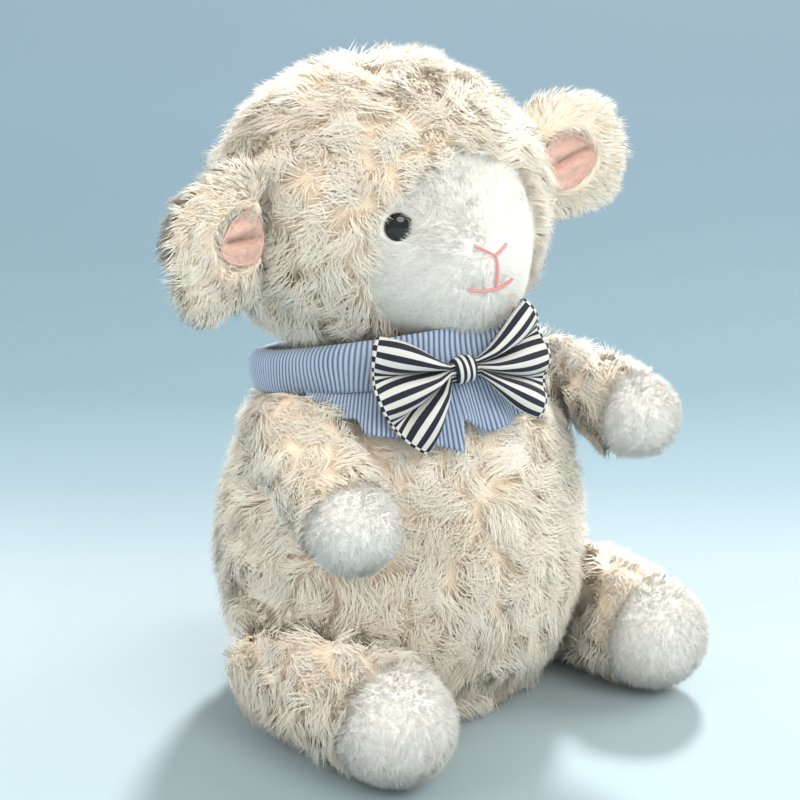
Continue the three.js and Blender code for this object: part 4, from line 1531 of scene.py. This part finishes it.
@dataclass(frozen=True)
class Head:
    """The padded head, its piles and its eyes."""

    shape: HeadShape = HeadShape()
    cream_inset: float = 8.5
    white_inset: float = 9.5
    eye_radius: float = 6.1
    eye_dome: float = 3.4
    eye_pull: float = 1.6
    mouth_pull: float = 0.9
    crown: Triple = (0, 16, 138)
    run: float = 11.5

    def make(self) -> None:
        """Build the head with its face."""
        skin = self.skin()
        dress(skin, "head", "cream_plush", CREAM_GROUND, "head_skin", "face_panel", "head_stuffing")
        put(skin, CREAM_GROUND, WHITE_GROUND)
        patch(skin, lambda points: self.shape.beyond_face(HEAD.to_own(points)) < 1)
        Coat(LONG, 11).grow("head_pile", "head", skin, self.cream_nap, 3)
        Coat(FACE_PILE, 12).grow("face_pile", "head", skin, self.face_nap, 2)
        for side in Side:
            self.eye(side)
        Embroidery(self.shape).make()

    def skin(self) -> Piece:
        """Build the skin, with the pull of its eyes and embroidery.

        Returns:
            The skin.
        """
        bpy.ops.mesh.primitive_ico_sphere_add(subdivisions=5, radius=1)
        ball = bpy.context.object
        ball.name = ball.data.name = "head_padding"
        ways = unit(mesh_arrays(ball.data)[0])
        outer, inner = (ways * self.shape.reach(ways, inset)[:, None] + self.shape.centre
                        for inset in (self.cream_inset, self.white_inset))
        own = inner + (outer - inner) * smoothstep(self.shape.beyond_face(inner), -1, 3)[:, None]
        for side in Side:
            seat, axis = self.shape.eye_seat(side)
            own -= hump(np.linalg.norm(own - seat, axis=1), 9)[:, None] * axis * self.eye_pull
        mouth = self.shape.face_point(*Embroidery(self.shape).strokes()[3].T, self.white_inset)
        gap = np.linalg.norm(own[:, None] - mouth[None, ::4], axis=2).min(1)
        own[:, 1] += hump(gap, 5) * self.mouth_pull
        write_points(ball.data, HEAD.to_world(own))
        ball.data.shade_smooth()
        while ball.data.uv_layers:
            ball.data.uv_layers.remove(ball.data.uv_layers[0])
        return ball

    def at_neck(self, points: Array) -> tuple[Array, Array]:
        """Tell how far places are under the head by the neck, and out from the neck's axis."""
        from_neck = np.hypot(points[:, 0], points[:, 1] - NECK_CENTRE[1])
        return smoothstep(-points[:, 2], -190, -178) * (from_neck < 44), from_neck

    def cream_nap(self, points: Array, normals: Array) -> Nap:
        """Comb the pile from the crown, short by the face and the neck, and hanging round the neck.

        Args:
            points: Places on the skin.
            normals: Its normals.

        Returns:
            The nap.
        """
        own = HEAD.to_own(points)
        beyond = self.shape.beyond_face(own)
        edge = smoothstep(beyond, 0, 12)
        low, from_neck = self.at_neck(points)
        hang = smoothstep(-points[:, 2], -200, -186) * smoothstep(from_neck, 30, 44)
        comb = HEAD.turn(unit(own - np.array(self.crown)) + [0, 0, -0.35]) + DOWN * hang[:, None] * 0.8
        height = LONG.height * (0.85 + 0.15 * edge) * (1 - 0.45 * low)
        run = self.run * (0.35 + 0.65 * edge) * (1 - 0.4 * low + 0.35 * hang)
        return Nap(beyond > 0, comb, height, run)

    def face_nap(self, points: Array, normals: Array) -> Nap:
        """Comb the white face from its nose, shorn round its eyes and its embroidery.

        Args:
            points: Places on the skin.
            normals: Its normals.

        Returns:
            The nap.
        """
        own = HEAD.to_own(points)
        beside, above = (own - self.shape.centre)[:, [0, 2]].T
        comb = HEAD.turn(np.stack([beside * 0.045, np.full(len(own), 0.25), (above + 13) * 0.045], -1))
        height, run = np.full(len(own), FACE_PILE.height), np.full(len(own), FACE_PILE.run)
        ridge = smoothstep(np.abs(beside), 14, 22) * (1 - smoothstep(np.abs(beside), 28, 32))
        height += 2.6 * ridge * hump(above - 2, 14)
        keep = self.shape.beyond_face(own) < 1.5
        for side in Side:
            seat, _ = self.shape.eye_seat(side)
            gap = np.linalg.norm(own - seat, axis=1)
            keep &= gap > 6.0
            inner = own[:, 0] * side.value < seat[0] * side.value - 1
            lash = (1 - smoothstep(gap, 7, 12)) * inner
            comb += HEAD.turn(unit(seat - own)) * lash[:, None] * 1.2
            height *= np.where(inner, 1, 0.6 + 0.4 * smoothstep(gap, 6.5, 9.5))
        for stroke in Embroidery(self.shape).strokes():
            gap = np.hypot(beside[:, None] - stroke[:, 0], above[:, None] - stroke[:, 1]).min(1)
            keep &= gap > 0.7
            height *= 0.66 + 0.34 * smoothstep(gap, 1.0, 3.2)
            run *= 0.4 + 0.6 * smoothstep(gap, 1.2, 4)
        low, _ = self.at_neck(points)
        return Nap(keep, comb, height * (1 - 0.45 * low), run * (1 - 0.4 * low))

    def eye(self, side: Side) -> None:
        """Turn a glossy dome with its shank.

        Args:
            side: The eye's side.
        """
        turn = np.linspace(0, math.pi / 2, 14)
        dome = np.stack([self.eye_radius * np.sin(turn), self.eye_dome * np.cos(turn)], -1)
        skirt = [[self.eye_radius, -1.2], [5.5, -2.2], [2.4, -2.6]]
        shank = [[2.0, -4], [2.0, -14.5], [1.4, -15], [0.02, -15]]
        dome[0, 0] = 0.02
        points, faces = revolve(np.vstack([dome, skirt, shank]), *self.shape.eye_seat(side), 40)
        name = f"{side.name.lower()}_eye"
        piece = mesh_object(f"{name}_dome", HEAD.to_world(points), faces)
        dress(piece, "head", "eye_black", BLACK_GLOSS, name)


@dataclass(frozen=True)
class Neck:
    """The wad of wool that the head turns on, with a short pile round its side."""

    radius: float = 30
    half_height: float = 10.5
    pile: float = 3.0

    def nap(self, points: Array, normals: Array) -> Nap:
        """Comb the pile down."""
        height = np.full(len(points), self.pile)
        return Nap(np.abs(normals[:, 2]) < 0.8, DOWN + 0 * points, height, height * 1.6)

    def make(self) -> None:
        """Build the neck."""
        turn = np.linspace(0, math.pi, 20)
        profile = np.stack([self.radius * np.sin(turn) ** 0.8 + 0.02, self.half_height * np.cos(turn)], -1)
        axis = np.round([0, math.sin(NECK_LEAN), math.cos(NECK_LEAN)], 5)
        neck = mesh_object("neck_padding", *revolve(profile, np.array(NECK_CENTRE), axis, 48))
        dress(neck, "neck", "stuffing", CREAM_GROUND, "neck_stuffing")
        Coat(EAR_PILE, 80).grow("neck_pile", "neck", neck, self.nap)


# Collar and bow


@dataclass(frozen=True)
class Slab:
    """A closed slab of cloth along a curved surface, with ribs where it is corduroy."""

    points_at: Callable[[Array, Array], Array]
    across: int
    down: int
    around: bool = False
    thickness: float = 1.6
    wales: float = 0
    rib: float = 0.42

    def make(self, name: str) -> Piece:
        """Build the slab: two skins half its thickness out from the surface, thin at the edges.

        Args:
            name: The object's name.

        Returns:
            The object.
        """
        rows = self.across if self.around else self.across + 1
        levels = np.linspace(0, 1, self.down + 1)
        share, down = np.meshgrid(np.arange(rows) / self.across, levels, indexing="ij")
        step = 1e-3
        middle = self.points_at(share, down)
        across = self.points_at(share + step, down) - self.points_at(share - step, down)
        low, high = np.maximum(0, down - step), np.minimum(1, down + step)
        normal = unit(np.cross(across, self.points_at(share, high) - self.points_at(share, low)))
        rib = self.rib * (np.abs(np.sin(share * self.wales * math.pi)) ** 0.7 - (self.wales > 0))
        end = np.minimum(1, np.minimum(down, 1 - down) * self.down / 1.5)
        half = (self.thickness / 2 * (0.55 + 0.45 * end) + rib)[..., None]
        sides = np.stack([middle + normal * half, middle - normal * half])
        front = np.stack([share, down / 2], -1)
        bake_at = np.stack([front, front + [0, 0.5]]).reshape(-1, 2)
        return mesh_object(name, sides.reshape(-1, 3), [self.faces(rows)], bake_at)

    def faces(self, rows: int) -> Array:
        """Number the slab's quads.

        Args:
            rows: Points across.

        Returns:
            The quads.
        """
        columns = self.down + 1
        count = rows * columns
        front = grid_faces(rows, columns, self.around)
        i = np.arange(rows if self.around else rows - 1)
        here, beside = i * columns, (i + 1) % rows * columns
        top = np.stack([here, here + count, beside + count, beside], -1)
        low = np.stack([here, beside, beside + count, here + count], -1) + columns - 1
        found = [front, front[:, ::-1] + count, top, low]
        if not self.around:
            j = np.arange(columns - 1)
            found.append(np.stack([j, j + 1, j + 1 + count, j + count], -1))
            found.append(np.stack([j, j + count, j + 1 + count, j + 1], -1) + (rows - 1) * columns)
        return np.vstack(found)


def fray(name: str, roots: Array, way: Array, length: float, chance: np.random.Generator) -> Piece:
    """Let short threads stick out of a cut edge.

    Args:
        name: The piece's name.
        roots: Places along the edge.
        way: The way out of the cloth at each place.
        length: The threads' length.
        chance: Their chance.

    Returns:
        The threads.
    """
    count = len(roots)
    reach = chance.uniform(0.4, 1.0, (count, 1)) * length
    out = unit(unit(way) + chance.normal(0, 0.35, (count, 3)))
    bend = chance.normal(0, 0.25, (count, 3)) * length
    paths = np.stack([roots - out * 0.6, roots + out * reach * 0.55, roots + out * reach + bend * 0.5], 1)
    normals = unit(np.cross(out, [0.2, 0.3, 0.9]))
    return Strands(paths, normals, np.full(count, 0.22), chance.random(count)).object(name)


@dataclass(frozen=True)
class Collar:
    """The corduroy collar: a band round the torso's neck, and a bib of two ruffled lobes."""

    torso_height: float = 156.5
    torso_half: float = 89.5
    depth_share: float = 163 / 179
    lean_back: float = 6.0
    turn: float = math.radians(COLLAR_TURN_DEG)
    band_wales: int = 176
    band_low: float = 148.5
    band_high: float = 168.5
    clearance: float = 1.25
    roll: float = 9
    roll_drop: float = 4
    bulge: float = 1.2
    over_bib: float = 2.5
    bib_wales: int = 66
    bib_end: float = 36
    bib_sweep: float = 94
    bib_short: float = 7
    bib_lobe: float = 15.5
    ruffle: float = 4
    rows_per_wale: int = 6

    def torso_half_width(self, level: Array) -> Array:
        """Measure the torso's half width at heights, from its outline's shares of width and height.

        Args:
            level: The heights.

        Returns:
            The half widths.
        """
        shares = np.array([[0, 0], [0.44, 0.002], [0.72, 0.04], [0.9, 0.15], [0.98, 0.3], [1, 0.45],
                           [0.965, 0.62], [0.885, 0.78], [0.785, 0.9], [0.685, 0.965], [0.42, 1], [0, 1]])
        curve = spline(shares, 200)
        return np.interp((level + 0.5) / self.torso_height, curve[:, 1], curve[:, 0]) * self.torso_half

    def round_neck(self, angle: Array, radius: Array, height: Array) -> Array:
        """Place points round the neck, which leans back with the square of the height.

        Args:
            angle: Turns from the front.
            radius: Distances out.
            height: Levels before the neck leans.

        Returns:
            The points.
        """
        x, y = np.sin(angle) * radius, -np.cos(angle) * radius * self.depth_share
        share = (height / 156) ** 2
        return np.stack([x, y + self.lean_back * share, height - y * np.tan(NECK_LEAN * share)], -1)

    def band_points(self, share: Array, down: Array) -> Array:
        """Run the band round the neck, its top edge rolled inward.

        Args:
            share: Places round, from 0 to 1.
            down: Places down, from 0 to 1.

        Returns:
            The points.
        """
        angle = share * TAU
        slant = 0.035 * down * np.sin(angle * 3 + 0.6)
        angle = angle + slant + 0.012 * np.sin(down * 5) * np.sin(angle * 7)
        lip = np.sin(angle / 2) ** 2
        inward = self.roll * lip * np.maximum(0, 1 - down / 0.4) ** 2
        drop = self.roll_drop * lip * np.maximum(0, 1 - down / 0.2)
        bulge = self.bulge * np.sin(down * math.pi)
        beside = np.degrees(np.arccos(np.clip(np.cos(angle - self.turn), -1, 1)))
        over_bib = 1 - smoothstep(beside, 35, 59)
        slack = 0.5 * np.sin(angle * 5 + 1) * np.sin(down * math.pi) * (1 - over_bib)
        rest = self.torso_half_width(np.array(self.band_low)) + self.clearance
        height = self.band_high - drop - down * (self.band_high - self.band_low)
        return self.round_neck(angle, rest - inward + bulge + over_bib * self.over_bib + slack, height)

    def bib_points(self, share: Array, down: Array) -> Array:
        """Hang the bib's two ruffled lobes from under the band.

        Args:
            share: Places across, from 0 to 1.
            down: Places down, from 0 to 1.

        Returns:
            The points.
        """
        beside = self.bib_end - self.bib_sweep * (1 - share)
        across = np.clip(beside / self.bib_end, -1, 1)
        inward = 1 - np.abs(across)
        notch = np.where(across < 0, smoothstep(-across, 0, 0.04), smoothstep(across, 0, 0.3))
        lobe = (0.45 + 0.55 * notch) * (0.45 + 0.55 * inward) * (0.35 + 0.65 * smoothstep(inward, 0, 0.12))
        lobe = lobe * np.where(across < 0, 1 + 0.24 * inward**2, 1)
        pinked = 0.3 * np.abs(np.sin(share * self.bib_wales * math.pi))
        length = self.bib_short + self.bib_lobe * lobe + pinked
        hidden = 1 - down * 5
        free = np.maximum(0, -hidden / 4)
        height = self.band_low + np.maximum(0, hidden) * 5 - free * length
        rests = np.maximum(self.torso_half_width(height), self.torso_half_width(np.array(self.band_low)))
        flounce = smoothstep(-beside, 30, 40)
        ruffle = self.ruffle * free * (1 + np.cos(across * 5 * math.pi)) / 2 * (1 - flounce)
        ruffle = ruffle + free * flounce * (1.2 + 0.8 * np.sin(beside * 0.5))
        return self.round_neck(self.turn + np.radians(beside), rests + self.clearance + ruffle, height)

    def make(self) -> None:
        """Build the band and the bib."""
        band = Slab(self.band_points, self.band_wales * self.rows_per_wale, 12, True, 1.8, self.band_wales)
        band = band.make("corduroy_band")
        finish = CorduroyFinish("blue_corduroy_cloth", self.band_wales)
        dress(band, "torso", "blue_corduroy", finish, "collar_band")
        bib = Slab(self.bib_points, self.bib_wales * self.rows_per_wale, 20, False, 1.7, self.bib_wales)
        bib = bib.make("corduroy_bib")
        finish = CorduroyFinish("blue_corduroy_bib", self.bib_wales)
        dress(bib, "torso", "blue_corduroy", finish, "collar_bib")

    def fray(self, share: Array) -> None:
        """Fray the bib's hem at places across it."""
        hem, above = (self.bib_points(share, np.full(len(share), level)) for level in (1.0, 0.97))
        threads = fray("bib_fray", hem, hem - above, 1.7, np.random.default_rng(71))
        dress(threads, "torso", "blue_corduroy", BLUE_THREAD)


@dataclass(frozen=True)
class Bow:
    """The striped bow: two pleated wings that fan out of a knot."""

    wing: float = 35
    half_fan: tuple[float, float] = (45.5, 43)
    half_knot: float = 3.2
    knot_span: float = 42
    pleat_length: float = 28.5
    thickness: float = 1.6
    knot_radius: float = 5.9
    knot_half: float = 4.6
    knot_end: float = 4.3

    def points(self, share: Array, down: Array) -> Array:
        """Fan the wings; a pleat is as deep as its length leaves beside the wing's height.

        Args:
            share: Places from wing tip to wing tip, from 0 to 1.
            down: Places down, from 0 to 1.

        Returns:
            The points.
        """
        across = 2 * share - 1
        out = np.maximum(0, np.abs(across) - 1 / 6) * 6 / 5
        within = across - np.sign(across) * out * 5 / 6
        half_fan = np.radians(np.where(across < 0, *self.half_fan))
        phase = (1 - 2 * down) * 2.5 * math.pi
        angle = (1 - 2 * down) * half_fan - np.radians(13 - 9 * share)
        angle += np.radians(5) * np.sin(phase) * np.sin(out * math.pi)
        spread = out * self.wing * np.where(across < 0, 1.02 - 0.11 * down, 0.93)
        half_height = self.half_knot + spread * np.sin(half_fan)
        depth = np.sqrt(np.maximum(0, self.pleat_length**2 - half_height**2)) / 5.4
        depth = depth * np.minimum(1, 0.35 + 3 * out)
        crest = np.cos(phase)
        pleats = (np.sign(crest) * np.abs(crest) ** 0.7) * depth
        bulge = np.sin(out * math.pi) * 2.4 - out**2
        x = within * self.knot_span + np.sign(across) * spread * np.cos(angle)
        y = -(pleats + bulge + 8 * out * down**2)
        z = self.half_knot * (1 - 2 * down) + spread * np.sin(angle)
        return BOW.to_world(np.stack([x, y, z], -1))

    def make(self) -> None:
        """Build the wings and the knot."""
        wings = Slab(self.points, 120, 80, False, self.thickness).make("bow_wings")
        dress(wings, "torso", "striped_cotton", STRIPES, "bow_cloth")
        share = np.linspace(-1, 1, 15)
        profile = np.stack([self.knot_radius - 0.9 * np.abs(share) ** 3, share * self.knot_half], -1)
        outer = np.vstack([[0.02, -self.knot_end], profile, [0.02, self.knot_end]])[::-1]
        points, faces = revolve(outer, np.zeros(3), np.array([1.0, 0, 0]), 56)
        points[:, 1] *= 0.96
        creased = 0.25 * np.sin(np.arctan2(points[:, 1], points[:, 2]) * 3 + points[:, 0])
        points[:, 1:] *= (1 + creased / 8 * (np.hypot(points[:, 1], points[:, 2]) > 1))[:, None]
        around = np.arctan2(points[:, 1], points[:, 2]) / 7 + 0.5
        stripe = np.stack([around, (points[:, 0] / self.knot_half + 1) / 17 + 0.3], -1)
        knot = mesh_object("bow_loop", BOW.to_world(points), faces, stripe)
        dress(knot, "torso", "striped_cotton", STRIPES, "bow_knot")

    def fray(self, share: Array) -> None:
        """Fray the top edge of the left wing at places along it."""
        edge, below = (self.points(share, np.full(len(share), level)) for level in (0.0, 0.02))
        threads = fray("bow_fray", edge, edge - below, 2.2, np.random.default_rng(72))
        dress(threads, "torso", "striped_cotton", NAVY_THREAD)


# Stage


@dataclass(frozen=True)
class Camera:
    """The photograph's camera: turns in degrees, lengths in millimetres."""

    azimuth: float = -40.4
    elevation: float = 15.4
    distance: float = 883.7
    lens: float = 87.55
    sensor: float = 36
    target: Triple = (-1.2, 0.7, 134.7)

    def make(self) -> None:
        """Set the camera."""
        turn, lift = math.radians(self.azimuth), math.radians(self.elevation)
        back = Vector((math.sin(turn) * math.cos(lift), -math.cos(turn) * math.cos(lift), math.sin(lift)))
        data = bpy.data.cameras.new("camera")
        data.lens, data.sensor_width = self.lens, self.sensor
        data.clip_start, data.clip_end = 0.02, 60
        camera = bpy.data.objects.new("camera", data)
        camera.location = (Vector(self.target) + back * self.distance) * MM
        camera.rotation_euler = back.to_track_quat("Z", "Y").to_euler()
        bpy.context.scene.collection.objects.link(camera)
        bpy.context.scene.camera = camera


class LampKind(Enum):
    """A disk near the toy, or a lamp so far away that its light is even."""

    SOFT = "AREA"
    FAR = "SUN"


@dataclass(frozen=True)
class Lamp:
    """A lamp that looks at the toy; a soft lamp's size is in metres and a far lamp's in degrees."""

    name: str
    place: Triple
    power: float
    color: Triple = (1, 0.97, 0.9)
    kind: LampKind = LampKind.SOFT
    size: float = 1.0
    mirrored: bool = True

    def make(self) -> None:
        """Hang the lamp."""
        data = bpy.data.lights.new(self.name, self.kind.value)
        data.energy, data.color = self.power, self.color
        if self.kind is LampKind.FAR:
            data.angle = math.radians(self.size)
        else:
            data.shape, data.size = "DISK", self.size
        lamp = bpy.data.objects.new(self.name, data)
        lamp.location = self.place
        lamp.visible_glossy = self.mirrored
        lamp.rotation_euler = (Vector(self.place) - Vector((0, 0, 0.13))).to_track_quat("Z", "Y").to_euler()
        bpy.context.scene.collection.objects.link(lamp)


@dataclass(frozen=True)
class Stage:
    """The pale floor that darkens away from the camera, the lamps and the room's light."""

    stops: tuple[tuple[float, Triple], ...] = (
        (0.05, (0.305, 0.4, 0.44)), (0.11, (0.365, 0.44, 0.48)), (0.14, (0.335, 0.42, 0.46)),
        (0.175, (0.243, 0.333, 0.383)), (0.23, (0.168, 0.257, 0.3)), (0.35, (0.157, 0.242, 0.294)),
        (0.65, (0.173, 0.265, 0.33)))
    lamps: tuple[Lamp, ...] = (
        Lamp("key_lamp", (0.79, 0.61, 0.91), 5.0, (1, 1, 1), LampKind.FAR, 8),
        Lamp("front_lamp", (-0.1, -1.2, 1.1), 11),
        Lamp("camera_lamp", (-0.9, -1.2, 0.6), 4.5, mirrored=False),
        Lamp("left_lamp", (-1.1, 0.2, 0.9), 7.5),
        Lamp("right_lamp", (1.1, -0.5, 0.9), 12))
    room: Triple = (1.0, 1.0, 0.98)
    room_strength: float = 0.55
    away: tuple[float, float] = (0.648, 0.7615)
    per_metre: float = 0.25
    at_middle: float = 0.1

    def make(self) -> None:
        """Build the stage."""
        bpy.ops.mesh.primitive_plane_add(size=40)
        floor = bpy.context.object
        floor.name = "floor"
        shader = Shader("floor_paint", 0.9, specular=0.1)
        place = shader.node("ShaderNodeTexCoord").outputs["Object"]
        parts = shader.node("ShaderNodeSeparateXYZ", {"Vector": place}).outputs
        away = shader.math("ADD", *(shader.math("MULTIPLY", parts[k], self.away[k]) for k in range(2)))
        share = shader.math("MULTIPLY_ADD", away, self.per_metre, self.at_middle)
        share = shader.math("ADD", share, shader.math("MULTIPLY", shader.noise(1.2, 1.0), 0.004))
        floor.data.materials.append(shader.color(shader.ramp(share, *self.stops)))
        world = bpy.data.worlds.new("room")
        world.use_nodes = True
        ground = world.node_tree.nodes["Background"].inputs
        ground["Color"].default_value = (*self.room, 1)
        ground["Strength"].default_value = self.room_strength
        bpy.context.scene.world = world
        for lamp in self.lamps:
            lamp.make()


def main() -> None:
    """Build the whole scene."""
    logging.basicConfig(level=logging.INFO, format="%(message)s")
    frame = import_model()
    Camera().make()
    make_padded(frame)
    Head().make()
    Neck().make()
    collar, bow = Collar(), Bow()
    collar.make()
    bow.make()
    chance = np.random.default_rng(70)
    collar.fray(np.sort(chance.random(420)))
    bow.fray(chance.uniform(0.66, 0.995, 130))
    kept = {"pellet_bag": PELLET_CLOTH, "left_eye_washer": WHITE_PLASTIC, "right_eye_washer": WHITE_PLASTIC}
    for node, finish in kept.items():
        put(frame["nodes"][node], finish)
    Stage().make()
    bpy.context.scene.view_settings.view_transform = "Standard"


if __name__ == "__main__":
    main()
